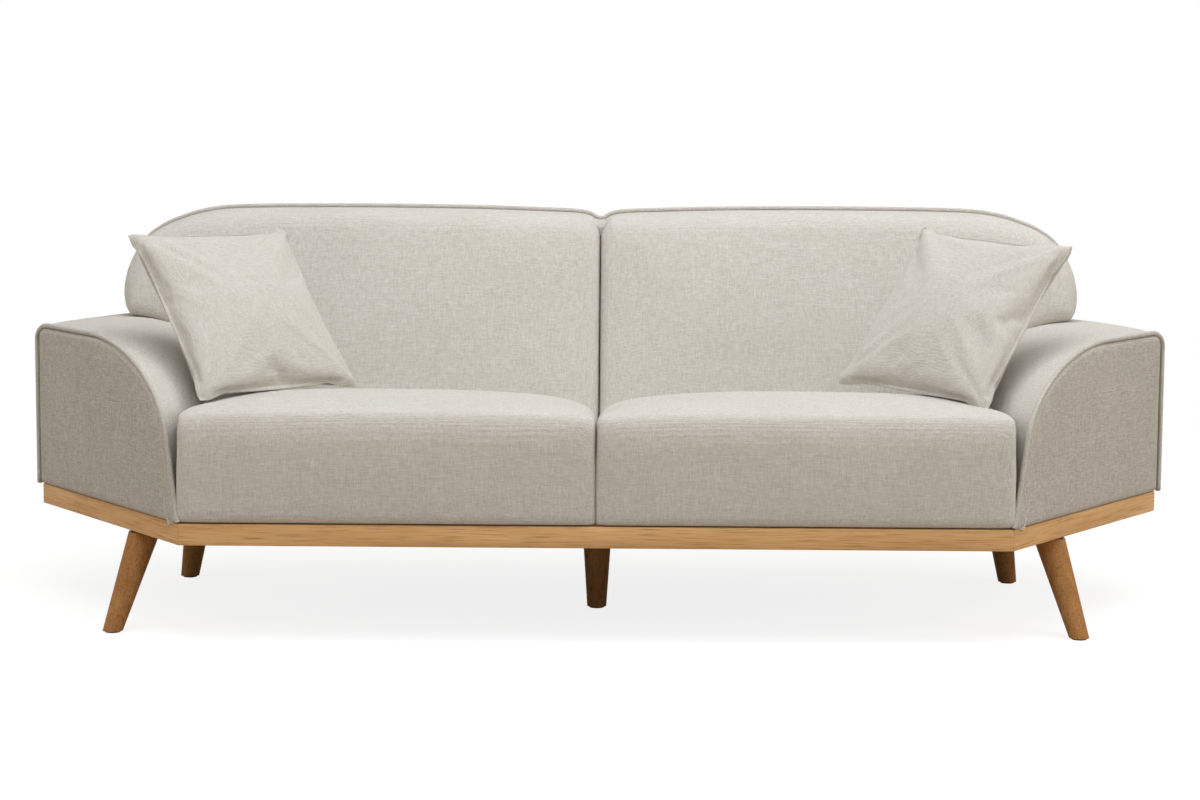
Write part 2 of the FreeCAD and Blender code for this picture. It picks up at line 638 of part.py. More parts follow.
# border: a padded band round the edge of the back frame, from one arm over to the other
outer = prism("border_outer", "XZ", back_outline("0"), FOAM_REAR, PANEL_FRONT)
inner = prism("border_inner", "XZ", back_outline("back_wall"), f"({FOAM_REAR} - back_wall)",
              f"({PANEL_FRONT} + back_wall)")
for word, side in SIDES:
    outer = round_shoulder(outer, side)
    inner = round_shoulder(inner, side, "back_wall")
band = boolean("Cut", "border_band", outer, inner)
keep(boolean("Cut", "border_trimmed", band, both_arms), "back_border")

# outside back panel, which closes the frame from behind down to the plinth
half = [(BACK_SIDE, BASE_TOP), (BACK_SIDE, "back_top")]
panel = prism("back_panel", "XZ", half + list(reversed(mirrored(half, -1))), PANEL_FRONT, REAR)
for word, side in SIDES:
    panel = round_shoulder(panel, side)
keep(boolean("Cut", "back_panel_cut", panel, both_arms), "back_outer_panel")

# welt along the rear edge of the back: up one side, over the top and down the other
bead = sheet.piping_width / 2
side_x = amount(BACK_SIDE) + bead
top_z = sheet.back_top + bead
foot_z = sheet.arm_top + sheet.soft_gap
bend = sheet.back_corner_radius + bead
middle_y = amount(PANEL_FRONT)
diagonal = bend * math.cos(math.radians(45))
edges = []
left_low = FreeCAD.Vector(-side_x, middle_y, foot_z)
left_high = FreeCAD.Vector(-side_x, middle_y, top_z - bend)
left_mid = FreeCAD.Vector(-side_x + bend - diagonal, middle_y, top_z - bend + diagonal)
left_top = FreeCAD.Vector(-side_x + bend, middle_y, top_z)
right_top = FreeCAD.Vector(side_x - bend, middle_y, top_z)
right_mid = FreeCAD.Vector(side_x - bend + diagonal, middle_y, top_z - bend + diagonal)
right_high = FreeCAD.Vector(side_x, middle_y, top_z - bend)
right_low = FreeCAD.Vector(side_x, middle_y, foot_z)
edges = [Part.makeLine(left_low, left_high), Part.Arc(left_high, left_mid, left_top).toShape(),
         Part.makeLine(left_top, right_top), Part.Arc(right_top, right_mid, right_high).toShape(),
         Part.makeLine(right_high, right_low)]
ring = Part.Wire(Part.Circle(left_low, FreeCAD.Vector(0, 0, 1), bead).toShape())
shaped("piping_back", [Part.Wire(edges).makePipeShell([ring], True, False)])

# back frame: posts, rails, plywood wings over the arms and vertical webbing
POST_FRONT = f"({FOAM_REAR} + post_gap)"
TOP_RAIL_LOW = f"({CAVITY_TOP} - rail_gap - top_rail_height)"
LOWER_RAIL_LOW = f"({BEARER_TOP} + lower_rail_lift)"
rail_half = f"({BACK_SIDE} - back_corner_radius + top_rail_reach)"
keep(block("back_top_rail", (f"-{rail_half}", POST_FRONT, TOP_RAIL_LOW),
           (f"2*{rail_half}", "post_depth", "top_rail_height")), "back_top_rail")
keep(block("back_lower_rail", (f"-{END_INNER}", POST_FRONT, LOWER_RAIL_LOW),
           (f"2*{END_INNER}", "post_depth", "post_width")), "back_lower_rail")
for word, side in SIDES:
    low_x = END_INNER if side > 0 else f"-{END_INNER} - post_width"
    label = "back_post_" + word
    keep(block(label, (low_x, POST_FRONT, BEARER_TOP),
               ("post_width", "post_depth", f"{TOP_RAIL_LOW} - {BEARER_TOP}")), label)
    low_x = f"{END_INNER} + post_width" if side > 0 else f"-{END_INNER} - post_width - wing_width"
    wing = block(f"wing_blank_{word}",
                 (low_x, f"{POST_FRONT} + post_depth/2 - board_thickness/2",
                  "arm_top + soft_gap"), ("wing_width", "board_thickness", "wing_height"))
    keep(boolean("Common", f"wing_trimmed_{word}", wing, inner), "back_wing_" + word)
lower = block("center_post_lower", ("-post_width/2", POST_FRONT, BASE_TOP),
              ("post_width", "post_depth", f"{LOWER_RAIL_LOW} - {BASE_TOP}"))
upper = block("center_post_upper",
              ("-post_width/2", POST_FRONT, f"{LOWER_RAIL_LOW} + post_width"),
              ("post_width", "post_depth", f"{TOP_RAIL_LOW} - {LOWER_RAIL_LOW} - post_width"))
group("back_center_posts", [lower, upper])
STRAPS_PER_HALF = 3
straps = []
for side in (-1, 1):
    for number in range(STRAPS_PER_HALF):
        share = (number + 1) / (STRAPS_PER_HALF + 1)
        middle = f"({side})*{share}*{END_INNER}"
        straps.append(block("strap", (f"{middle} - webbing_width/2",
                                      f"{POST_FRONT} - webbing_thickness", LOWER_RAIL_LOW),
                            ("webbing_width", "webbing_thickness",
                             f"{TOP_RAIL_LOW} + top_rail_height - {LOWER_RAIL_LOW}")))
group("back_webbing", straps)

# ---- dust cover under the plinth, with an opening round each leg plate ------------------------

COVER_INSET = "(fabric_overhang + 12)"
COVER_THICKNESS = 1
PLATE_ROOM = 5
half = [front_corner(COVER_INSET), arm_corner(COVER_INSET, COVER_INSET),
        rail_end(COVER_INSET)]
outline = half + list(reversed(mirrored(half, -1)))
cloth = prism("cover_blank", "XY", outline, f"(leg_height - {COVER_THICKNESS})", "leg_height")
openings = []
for label, top, foot in leg_places():
    extent = f"(plate_size + 2*{PLATE_ROOM})"
    openings.append(block("cover_opening", (f"{top[0]} - {extent}/2", f"{top[1]} - {extent}/2",
                                            "leg_height - 10"), (extent, extent, "20")))
fused = doc.addObject("Part::MultiFuse", "cover_openings")
fused.Shapes = openings
keep(boolean("Cut", "dust_cover", cloth, fused), "dust_cover")

# ---- loose throw pillows, leaning across the corners between arm and back ---------------------

PILLOW_CENTER = ("pillow_across", f"({FRONT} + pillow_behind)",
                 "(cushion_top + soft_gap + (pillow_size*cos(pillow_tilt) +"
                 " pillow_edge*sin(pillow_tilt))/2)")
for word, side in SIDES:
    label = "pillow_" + word
    body = doc.addObject("PartDesign::Body", label)
    base = [item for item in body.Origin.OriginFeatures if item.Role == "XY_Plane"][0]
    layers = []
    steps = (("pillow_size*0.46", "-pillow_thickness/2"), ("pillow_size*0.86", "-pillow_thickness/4"),
             ("pillow_size", "-pillow_edge/2"), ("pillow_size", "pillow_edge/2"),
             ("pillow_size*0.86", "pillow_thickness/4"), ("pillow_size*0.46", "pillow_thickness/2"))
    for number, (extent, height) in enumerate(steps):
        sketch = body.newObject("Sketcher::SketchObject", f"{label}_layer_{number}")
        sketch.AttachmentSupport = [(base, "")]
        sketch.MapMode = "FlatFace"
        bind(sketch, "AttachmentOffset.Base.z", height)
        reach = amount(extent) / 2
        ends = [FreeCAD.Vector(a * reach, b * reach, 0)
                for a, b in ((-1, -1), (1, -1), (1, 1), (-1, 1))]
        for index in range(4):
            sketch.addGeometry(Part.LineSegment(ends[index], ends[(index + 1) % 4]), False)
        for index in range(4):
            sketch.addConstraint(Sketcher.Constraint("Coincident", index, 2, (index + 1) % 4, 1))
        for index, (a, b) in enumerate(((-1, -1), (1, -1), (1, 1), (-1, 1))):
            for kind, sign in (("DistanceX", a), ("DistanceY", b)):
                place = Sketcher.Constraint(kind, -1, 1, index, 1, sign * reach)
                cell = sketch.addConstraint(place)
                bind(sketch, f"Constraints[{cell}]", f"({sign})*({extent})/2")
        layers.append(sketch)
    loft = body.newObject("PartDesign::AdditiveLoft", label + "_loft")
    loft.Profile = layers[0]
    loft.Sections = layers[1:]
    loft.Ruled = True
    body.Tip = loft
    doc.recompute()
    upright = FreeCAD.Rotation(FreeCAD.Vector(1, 0, 0), 90 - sheet.pillow_tilt)
    turn = FreeCAD.Rotation(FreeCAD.Vector(0, 0, 1), -side * sheet.pillow_yaw)
    across, along, up = [amount(text) for text in PILLOW_CENTER]
    spot = FreeCAD.Vector(side * across, along, up)
    body.Placement = FreeCAD.Placement(spot, turn.multiply(upright))
    keep(body, label)

# ---- check every object, then write one file for each sub-part --------------------------------

doc.recompute()
faults = [f"{item.Label}: {item.State}" for item in doc.Objects
          if "Invalid" in item.State or "Error" in item.State]
for item in nodes:
    if item.Shape.isNull() or not item.Shape.isValid() or not item.Shape.Solids:
        faults.append(f"{item.Label}: shape")
if faults:
    raise RuntimeError("; ".join(faults))
os.makedirs("parts", exist_ok=True)
for item in nodes:
    item.Shape.exportStep(f"parts/{item.Label}.step")
print(len(nodes), "sub-parts written")
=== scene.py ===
import bmesh, bpy, math
from mathutils import Matrix, Vector, kdtree, noise


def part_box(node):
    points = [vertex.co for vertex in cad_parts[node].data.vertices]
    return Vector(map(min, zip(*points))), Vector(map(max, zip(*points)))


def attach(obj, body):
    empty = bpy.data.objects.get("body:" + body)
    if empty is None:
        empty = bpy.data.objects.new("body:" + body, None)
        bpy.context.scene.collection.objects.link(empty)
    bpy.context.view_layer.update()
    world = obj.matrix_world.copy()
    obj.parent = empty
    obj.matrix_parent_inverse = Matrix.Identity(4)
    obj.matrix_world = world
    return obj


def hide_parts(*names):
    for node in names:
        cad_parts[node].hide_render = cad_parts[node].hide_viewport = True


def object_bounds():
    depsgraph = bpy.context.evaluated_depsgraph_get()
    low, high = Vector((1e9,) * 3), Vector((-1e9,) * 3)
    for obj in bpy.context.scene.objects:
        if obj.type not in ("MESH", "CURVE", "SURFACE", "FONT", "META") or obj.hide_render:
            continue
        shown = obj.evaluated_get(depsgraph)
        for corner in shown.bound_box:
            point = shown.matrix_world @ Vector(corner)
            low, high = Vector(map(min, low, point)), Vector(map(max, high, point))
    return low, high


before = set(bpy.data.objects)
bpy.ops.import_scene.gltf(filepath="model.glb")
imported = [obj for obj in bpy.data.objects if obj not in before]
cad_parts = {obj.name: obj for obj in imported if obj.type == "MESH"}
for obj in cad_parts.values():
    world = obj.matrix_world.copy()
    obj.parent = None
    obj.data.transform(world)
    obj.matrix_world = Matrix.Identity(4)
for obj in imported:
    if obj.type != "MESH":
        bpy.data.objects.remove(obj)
cad_box = [[float(value) for value in corner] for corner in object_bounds()]

# ---- room ------------------------------------------------------------------------------------
# A studio with a pale floor that runs out of sight, soft light from a wide overhead panel
# and from all round, and a camera a little above the back of the sofa, straight in front.

scene = bpy.context.scene
scene.view_settings.view_transform = "Standard"
front = cad_box[0][1]

lens = bpy.data.cameras.new("camera")
lens.sensor_width = 36
lens.lens = 79.71
camera = bpy.data.objects.new("camera", lens)
camera.location = (0.044, front - 4.681, 0.969)
aside, down, level = (Matrix.Rotation(math.radians(angle), 3, axis) for angle, axis in
                      ((0.455, "Z"), (90 - 6.4, "X"), (0.35, "Z")))
camera.rotation_euler = (aside @ down @ level).to_euler()
scene.collection.objects.link(camera)
scene.camera = camera


def lamp(name, place, aim, size, power, color=(1, 1, 1)):
    """A soft rectangular studio panel that faces a point."""
    panel = bpy.data.lights.new(name, "AREA")
    panel.shape = "RECTANGLE"
    panel.size, panel.size_y = size
    panel.energy = power
    panel.color = color
    holder = bpy.data.objects.new(name, panel)
    holder.location = place
    holder.rotation_euler = (Vector(aim) - Vector(place)).to_track_quat("-Z", "Y").to_euler()
    scene.collection.objects.link(holder)


lamp("overhead_panel", (0.3, -0.8, 3.1), (0, -0.05, 0.4), (4.0, 2.4), 89, (0.93, 0.965, 1.0))
lamp("front_panel", (0.6, -4.4, 3.0), (0, 0, 0.45), (4.0, 2.0), 7)
lamp("right_panel", (4.2, -1.6, 1.9), (0, 0, 0.4), (2.4, 2.0), 46)
lamp("left_panel", (-4.2, -1.6, 1.9), (0, 0, 0.4), (2.4, 2.0), 26)


def add_node(tree, kind, inputs=None, **settings):
    """A shader node with its settings and inputs; an input is a number or another's output."""
    item = tree.nodes.new("ShaderNode" + kind)
    for name, value in settings.items():
        setattr(item, name, value)
    for name, value in (inputs or {}).items():
        if isinstance(value, bpy.types.NodeSocket):
            tree.links.new(value, item.inputs[name])
        else:
            item.inputs[name].default_value = value
    return item


def backdrop_rays(tree):
    """1 for rays that show the studio itself: seen directly, mirrored or through glass."""
    rays = add_node(tree, "LightPath").outputs
    shown = rays["Is Camera Ray"]
    for kind in ("Is Glossy Ray", "Is Transmission Ray"):
        shown = add_node(tree, "Math", {0: shown, 1: rays[kind]}, operation="MAXIMUM").outputs[0]
    return shown


world = bpy.data.worlds.new("studio")
scene.world = world
world.use_nodes = True
sky = world.node_tree
sky.nodes.clear()
soft = add_node(sky, "Background", {"Color": (1.0, 0.965, 0.915, 1), "Strength": 0.42})
white = add_node(sky, "Background", {"Color": (1, 1, 1, 1), "Strength": 1.0})
mixed = add_node(sky, "MixShader", {0: backdrop_rays(sky), 1: soft.outputs[0], 2: white.outputs[0]})
add_node(sky, "OutputWorld", {"Surface": mixed.outputs[0]})

bpy.ops.mesh.primitive_plane_add(size=60, location=(0, 0, 0))
floor = bpy.context.object
floor.name = "studio_floor"
paper = bpy.data.materials.new("floor_paper")
paper.use_nodes = True
tree = paper.node_tree
tree.nodes.clear()
matt = add_node(tree, "BsdfDiffuse", {"Color": (0.24, 0.24, 0.24, 1)})
glow = add_node(tree, "Emission", {"Color": (1, 1, 1, 1), "Strength": 0.845})
near = add_node(tree, "AddShader", {0: matt.outputs[0], 1: glow.outputs[0]})
beyond = add_node(tree, "Emission", {"Color": (1, 1, 1, 1), "Strength": 1.0})
middle = add_node(tree, "TexCoord").outputs["Object"]
spread = add_node(tree, "VectorMath", {0: middle}, operation="LENGTH")
fade = add_node(tree, "MapRange", {"Value": spread.outputs["Value"], "From Min": 1.5, "From Max": 3.0})
lit = add_node(tree, "MixShader", {0: fade.outputs[0], 1: near.outputs[0], 2: beyond.outputs[0]})
plain = add_node(tree, "BsdfDiffuse", {"Color": (0.50, 0.44, 0.37, 1)})
seen = add_node(tree, "MixShader", {0: backdrop_rays(tree), 1: plain.outputs[0], 2: lit.outputs[0]})
add_node(tree, "OutputMaterial", {"Surface": seen.outputs[0]})
floor.data.materials.append(paper)

# ---- plinth rails ----------------------------------------------------------------------------
# Six light oak rails, 39 mm high, mitred at the plinth's corners and glued end to end. Their
# edges are eased, so a fine line shows at each mitre; the grain runs along each rail.

PLINTH_LOW, PLINTH_TOP = 0.176, 0.215
FRONT, REAR = front, -front
OVERHANG = 0.006
RAIL_THICKNESS = 0.028
FLOOR_PLAN = [Vector((-0.75, FRONT)), Vector((0.75, FRONT)), Vector((1.102, FRONT + 0.501)),
              Vector((0.975, REAR)), Vector((-0.975, REAR)), Vector((-1.102, FRONT + 0.501))]


def plan_corner(number, before, after):
    """A corner of the floor plan, with the edges before and after it moved in."""
    last, here, following = (FLOOR_PLAN[(number + step) % 6] for step in (-1, 0, 1))
    first, second = (here - last).normalized(), (following - here).normalized()
    inward = [Vector((-edge.y, edge.x)) for edge in (first, second)]
    start = here + inward[0] * before
    gap = (here + inward[1] * after) - start
    run = (gap.x * second.y - gap.y * second.x) / (first.x * second.y - first.y * second.x)
    return start + first * run


def only(piece):
    """Leave one piece selected and active."""
    if bpy.context.object and bpy.context.object.mode != "OBJECT":
        bpy.ops.object.mode_set(mode="OBJECT")
    bpy.ops.object.select_all(action="DESELECT")
    piece.select_set(True)
    bpy.context.view_layer.objects.active = piece


def added(name):
    """The primitive just added, with its place moved into its mesh."""
    piece = bpy.context.object
    piece.name = piece.data.name = name
    only(piece)
    bpy.ops.object.transform_apply(location=True, rotation=True, scale=True)
    return piece


def pick(piece, kind, test=None):
    """In edit mode, select the points, edges or faces whose middle passes a test."""
    only(piece)
    bpy.ops.object.mode_set(mode="EDIT")
    bpy.ops.mesh.select_mode(type=kind)
    bpy.ops.mesh.select_all(action="DESELECT")
    mesh = bmesh.from_edit_mesh(piece.data)
    for item in {"VERT": mesh.verts, "EDGE": mesh.edges, "FACE": mesh.faces}[kind]:
        points = [item] if kind == "VERT" else item.verts
        middle = sum((v.co for v in points), Vector()) / len(points)
        if test is None or test(middle, item):
            item.select_set(True)
    bmesh.update_edit_mesh(piece.data)


def done(piece):
    bpy.ops.object.mode_set(mode="OBJECT")
    return piece


def rounded(piece, radius, steps, test=None):
    """Round all edges, or those whose middle passes a test."""
    pick(piece, "EDGE", test)
    bpy.ops.mesh.bevel(offset=radius, segments=steps, affect="EDGES")
    done(piece)


def finished_with(piece, kind, **settings):
    """Add a modifier and apply it."""
    only(piece)
    step = piece.modifiers.new(kind.lower(), kind)
    for name, value in settings.items():
        setattr(step, name, value)
    bpy.ops.object.modifier_apply(modifier=step.name)
    return piece


def held(value):
    """A value kept between 0 and 1."""
    return min(1.0, max(0.0, value))


def joined(pieces, name):
    """Several pieces made into one, with smooth shading."""
    only(pieces[0])
    for piece in pieces[1:]:
        piece.select_set(True)
    bpy.ops.object.join()
    return smooth(added(name))


def smooth(piece, degrees=40):
    only(piece)
    bpy.ops.object.shade_smooth_by_angle(angle=math.radians(degrees))
    return piece


def lay_out(piece, name, turn=0.0, tip=0.0):
    """Store where each point lies along the piece's own grain or threads."""
    own = (Matrix.Rotation(turn, 3, "Z") @ Matrix.Rotation(tip, 3, "X")).transposed()
    places = piece.data.attributes.new(name, "FLOAT_VECTOR", "POINT")
    places.data.foreach_set("vector", [value for v in piece.data.vertices for value in own @ v.co])


def fit(piece, finish, slot, *nodes, body="sofa"):
    """Give a piece its finish, hang it on its body, and hide the parts of the frame it stands for."""
    piece.data.materials.clear()
    piece.data.materials.append(finish)
    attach(piece, body)
    if nodes:
        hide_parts(*nodes)
    return piece


def new_group(name, inputs):
    """An empty shader group for a pattern, with a kind and a starting value for each input."""
    group = bpy.data.node_groups.new(name, "ShaderNodeTree")
    for label, (kind, value) in inputs.items():
        socket = group.interface.new_socket(name=label, in_out="INPUT", socket_type="NodeSocket" + kind)
        if value is not None:
            socket.default_value = value
    for label, kind in (("Color", "Color"), ("Roughness", "Float"), ("Height", "Float")):
        group.interface.new_socket(name=label, in_out="OUTPUT", socket_type="NodeSocket" + kind)
    return group, group.nodes.new("NodeGroupInput").outputs, group.nodes.new("NodeGroupOutput")


def streaks(tree, vector, scale, detail=2.0, distortion=0.0):
    """Noise drawn out along the directions with the lower scale, from 0 to 1."""
    stretched = add_node(tree, "VectorMath", {0: vector, 1: scale}, operation="MULTIPLY").outputs[0]
    return add_node(tree, "TexNoise", {"Vector": stretched, "Scale": 1.0, "Detail": detail,
                                       "Distortion": distortion}).outputs["Fac"]


def ramp(tree, value, low, high, start=0.0, end=1.0):
    """Change of range, held at both ends."""
    return add_node(tree, "MapRange", {"Value": value, "From Min": low, "From Max": high,
                                       "To Min": start, "To Max": end}).outputs["Result"]


def tint(tree, factor, first, second):
    """A mix of two colours."""
    item = add_node(tree, "Mix", data_type="RGBA")
    for socket, value in zip((item.inputs[0], item.inputs[6], item.inputs[7]), (factor, first, second)):
        if isinstance(value, bpy.types.NodeSocket):
            tree.links.new(value, socket)
        else:
            socket.default_value = value
    return item.outputs[2]


def total(tree, *values):
    """The sum of several values."""
    result = values[0]
    for value in values[1:]:
        result = add_node(tree, "Math", {0: result, 1: value}, operation="ADD").outputs[0]
    return result


def give(tree, out, *values):
    """Link a group's colour, roughness and height to its output."""
    for socket, value in zip(out.inputs, values):
        tree.links.new(value, socket)


def times(tree, value, factor):
    return add_node(tree, "Math", {0: value, 1: factor}, operation="MULTIPLY").outputs[0]


wood, given, out = new_group("wood_grain", {
    "Along grain": ("Vector", None), "Light wood": ("Color", (0.6, 0.36, 0.16, 1)),
    "Dark wood": ("Color", (0.42, 0.22, 0.09, 1)), "Pore": ("Color", (0.2, 0.1, 0.04, 1)),
    "Pore depth": ("Float", 0.5)})
place = given["Along grain"]
bands = streaks(wood, place, (1.6, 36, 36), 3.0, 0.6)
fibres = streaks(wood, place, (9, 420, 420), 4.0)
cloudy = streaks(wood, place, (3, 9, 9), 2.0)
pores = ramp(wood, streaks(wood, place, (14, 700, 700), 2.0), 0.54, 0.74)
tone = total(wood, times(wood, bands, 0.55), times(wood, fibres, 0.3), times(wood, cloudy, 0.3))
tone = ramp(wood, tone, 0.42, 0.72)
base = tint(wood, tone, given["Light wood"], given["Dark wood"])
pore_mask = add_node(wood, "Math", {0: pores, 1: given["Pore depth"]}, operation="MULTIPLY").outputs[0]
give(wood, out, tint(wood, pore_mask, base, given["Pore"]),
     ramp(wood, total(wood, fibres, pores), 0.3, 1.5, 0.42, 0.62),
     total(wood, times(wood, fibres, 0.4), times(wood, pores, -0.8)))


def finish_with(name, group, values, depth=0.3, distance=0.0006, coordinates=None, **surface):
    """A material: one shader group's colour, roughness and relief on a Principled surface."""
    material = bpy.data.materials.new(name)
    material.use_nodes = True
    tree = material.node_tree
    tree.nodes.clear()
    if coordinates:
        place = add_node(tree, "Attribute", attribute_name=coordinates).outputs["Vector"]
    else:
        place = add_node(tree, "TexCoord").outputs["Object"]
    pattern = add_node(tree, "Group")
    pattern.node_tree = group
    tree.links.new(place, pattern.inputs[0])
    for label, value in values.items():
        pattern.inputs[label].default_value = value
    relief = add_node(tree, "Bump", {"Height": pattern.outputs["Height"], "Strength": depth,
                                     "Distance": distance}).outputs["Normal"]
    surface_node = add_node(tree, "BsdfPrincipled", {
        "Base Color": pattern.outputs["Color"], "Roughness": pattern.outputs["Roughness"],
        "Normal": relief})
    for label, value in surface.items():
        surface_node.inputs[label.replace("_", " ")].default_value = value
    add_node(tree, "OutputMaterial", {"Surface": surface_node.outputs[0]})
    return material


oak = finish_with("light_oak", wood, {
    "Light wood": (0.80, 0.50, 0.24, 1), "Dark wood": (0.60, 0.335, 0.14, 1),
    "Pore": (0.38, 0.19, 0.07, 1), "Pore depth": 1.0}, coordinates="grain", depth=0.25,
    Specular_IOR_Level=0.04)


def rail(name, number, node):
    """One rail of the plinth: a board along an edge of the plan, cut at both mitres."""
    outer = [plan_corner(n, OVERHANG, OVERHANG) for n in (number, number + 1)]
    depth = OVERHANG + RAIL_THICKNESS
    inner = [plan_corner(n, depth, depth) for n in (number, number + 1)]
    along = outer[1] - outer[0]
    turn = math.atan2(along.y, along.x)
    middle = (outer[0] + outer[1] + inner[0] + inner[1]) / 4
    bpy.ops.mesh.primitive_cube_add(
        size=1, location=(middle.x, middle.y, (PLINTH_LOW + PLINTH_TOP) / 2), rotation=(0, 0, turn),
        scale=(along.length + 0.2, RAIL_THICKNESS, PLINTH_TOP - PLINTH_LOW))
    piece = added(name)
    for end, sign in ((0, -1), (1, 1)):
        cut = (outer[end] - inner[end]).normalized()
        across = Vector((cut.y, -cut.x, 0)) * sign
        if across.xy.dot(along) * sign < 0:
            across = -across
        pick(piece, "FACE")
        bpy.ops.mesh.bisect(plane_co=(*outer[end], 0), plane_no=across, use_fill=True, clear_outer=True)
        done(piece)
    rounded(piece, 0.0020, 3)
    smooth(piece)
    lay_out(piece, "grain", turn)
    fit(piece, oak, "plinth_wood", node)


for name, number in (("rail_front", 0), ("rail_angled_right", 1), ("rail_side_right", 2),
                     ("rail_rear", 3), ("rail_side_left", 4), ("rail_angled_left", 5)):
    rail("oak_" + name, number, name)

# ---- legs ------------------------------------------------------------------------------------
# Five turned legs of darker wood with open pores, tapering to a rounded foot. The outer four
# splay away from the sofa, and each screws up into its plate by a hanger bolt.

LEG_TOP, GLIDE = 0.173, 0.003
TOP_RADIUS, FOOT_RADIUS = 0.0295, 0.0185
# each leg's top, across and along, and how far its foot stands out from that
LEGS = {"leg_front_left": (-0.838, -0.244, -0.045, -0.089),
        "leg_front_right": (0.838, -0.244, 0.045, -0.089),
        "leg_rear_left": (-0.804, 0.21, -0.030, 0.030),
        "leg_rear_right": (0.804, 0.21, 0.030, 0.030),
        "leg_center": (0.0, -0.058, 0.0, 0.0)}
leg_wood = finish_with("oiled_leg_wood", wood, {
    "Light wood": (0.46, 0.23, 0.088, 1), "Dark wood": (0.31, 0.14, 0.046, 1),
    "Pore": (0.075, 0.028, 0.009, 1), "Pore depth": 0.85}, coordinates="grain", depth=0.4,
    Specular_IOR_Level=0.02)

for name, (across, along, out_x, out_y) in LEGS.items():
    bpy.ops.mesh.primitive_cylinder_add(vertices=48, radius=TOP_RADIUS, depth=LEG_TOP - GLIDE,
                                        location=(across, along, (LEG_TOP + GLIDE) / 2))
    leg = added("turned_" + name)
    pick(leg, "VERT", lambda middle, point: middle.z < GLIDE + 0.001)
    share = FOOT_RADIUS / TOP_RADIUS
    bpy.ops.transform.resize(value=(share, share, 1), center_override=(across, along, GLIDE))
    bpy.ops.transform.translate(value=(out_x, out_y, 0))
    bpy.ops.mesh.select_mode(type="EDGE")
    bpy.ops.mesh.bevel(offset=0.0052, segments=5, affect="EDGES")
    done(leg)
    rounded(leg, 0.0012, 2, lambda middle, edge: min(v.co.z for v in edge.verts) > LEG_TOP - 0.001)
    smooth(leg)
    # the grain runs up the leg, and each leg is cut from another place in the board
    upright = Matrix.Rotation(math.pi / 2, 3, "Y")
    shift = Vector((0, across * 3.1, along * 2.3))
    places = leg.data.attributes.new("grain", "FLOAT_VECTOR", "POINT")
    places.data.foreach_set(
        "vector", [value for v in leg.data.vertices for value in upright @ v.co + shift])
    fit(leg, leg_wood, "leg_wood", name)

# ---- felt glides -----------------------------------------------------------------------------
# A round of pressed felt, 3 mm thick, glued under each foot. Its cut edge is slightly rounded
# and the fibres are matted.

felt, given, out = new_group("pressed_felt", {
    "Where": ("Vector", None), "Light fibre": ("Color", (0.2, 0.19, 0.18, 1)),
    "Dark fibre": ("Color", (0.1, 0.095, 0.09, 1))})
matted = streaks(felt, given["Where"], (900, 900, 900), 4.0, 1.5)
give(felt, out, tint(felt, ramp(felt, matted, 0.3, 0.7), given["Light fibre"], given["Dark fibre"]),
     ramp(felt, matted, 0.2, 0.8, 0.9, 1.0), matted)
glide_felt = finish_with("glide_felt", felt, {
    "Light fibre": (0.13, 0.11, 0.095, 1), "Dark fibre": (0.06, 0.05, 0.045, 1)},
    depth=0.5, Specular_IOR_Level=0.1)

discs = []
for across, along, out_x, out_y in LEGS.values():
    bpy.ops.mesh.primitive_cylinder_add(vertices=32, radius=0.014, depth=GLIDE,
                                        location=(across + out_x, along + out_y, GLIDE / 2))
    disc = added("glide_disc")
    pick(disc, "EDGE", lambda middle, edge: len({round(v.co.z, 4) for v in edge.verts}) == 1)
    bpy.ops.mesh.bevel(offset=0.0007, segments=2, affect="EDGES")
    discs.append(done(disc))
glides = joined(discs, "felt_glide_discs")
fit(glides, glide_felt, "glide_felt", "felt_glides")

# ---- dust cover ------------------------------------------------------------------------------
# Black non-woven cloth stapled across the underside of the plinth, with a square opening for
# each leg plate. It sags a little between the rails.

COVER_INSET, OPENING = 0.018, 0.033
bpy.ops.mesh.primitive_grid_add(x_subdivisions=88, y_subdivisions=34, size=1,
                                location=(0, 0, PLINTH_LOW - 0.0006), scale=(2.3, 0.9, 1))
cover = added("dust_cover_cloth")
cover_outline = [plan_corner(n, COVER_INSET, COVER_INSET) for n in range(6)]
for number in range(6):
    start, end = cover_outline[number], cover_outline[(number + 1) % 6]
    away = Vector((end.y - start.y, start.x - end.x, 0)).normalized()
    pick(cover, "FACE")
    bpy.ops.mesh.bisect(plane_co=(*start, 0), plane_no=away, clear_outer=True)
    done(cover)
for across, along, out_x, out_y in LEGS.values():
    def near_leg(reach):
        return lambda middle, face: max(abs(middle.x - across), abs(middle.y - along)) < reach

    for place, away in (((across - OPENING, 0, 0), (1, 0, 0)), ((across + OPENING, 0, 0), (1, 0, 0)),
                        ((0, along - OPENING, 0), (0, 1, 0)), ((0, along + OPENING, 0), (0, 1, 0))):
        pick(cover, "FACE", near_leg(0.12))
        bpy.ops.mesh.bisect(plane_co=place, plane_no=away)
        done(cover)
    pick(cover, "FACE", near_leg(OPENING))
    bpy.ops.mesh.delete(type="FACE")
    done(cover)
for v in cover.data.vertices:
    bay = abs(math.sin(math.pi * min(abs(v.co.x), 0.86) / 0.86))
    span = max(0.0, math.cos(math.pi * v.co.y / 0.84))
    v.co.z -= 0.004 * bay * span
finished_with(cover, "SOLIDIFY", thickness=0.0008, offset=0)
smooth(cover)
bonded, given, out = new_group("bonded_cloth", {
    "Where": ("Vector", None), "Light": ("Color", (0.03, 0.03, 0.032, 1)),
    "Dark": ("Color", (0.012, 0.012, 0.013, 1))})
dots = add_node(bonded, "TexVoronoi", {"Vector": given["Where"], "Scale": 420.0}).outputs["Distance"]
fuzz = streaks(bonded, given["Where"], (240, 700, 500), 3.0)
spots = ramp(bonded, total(bonded, dots, fuzz), 0.4, 1.2)
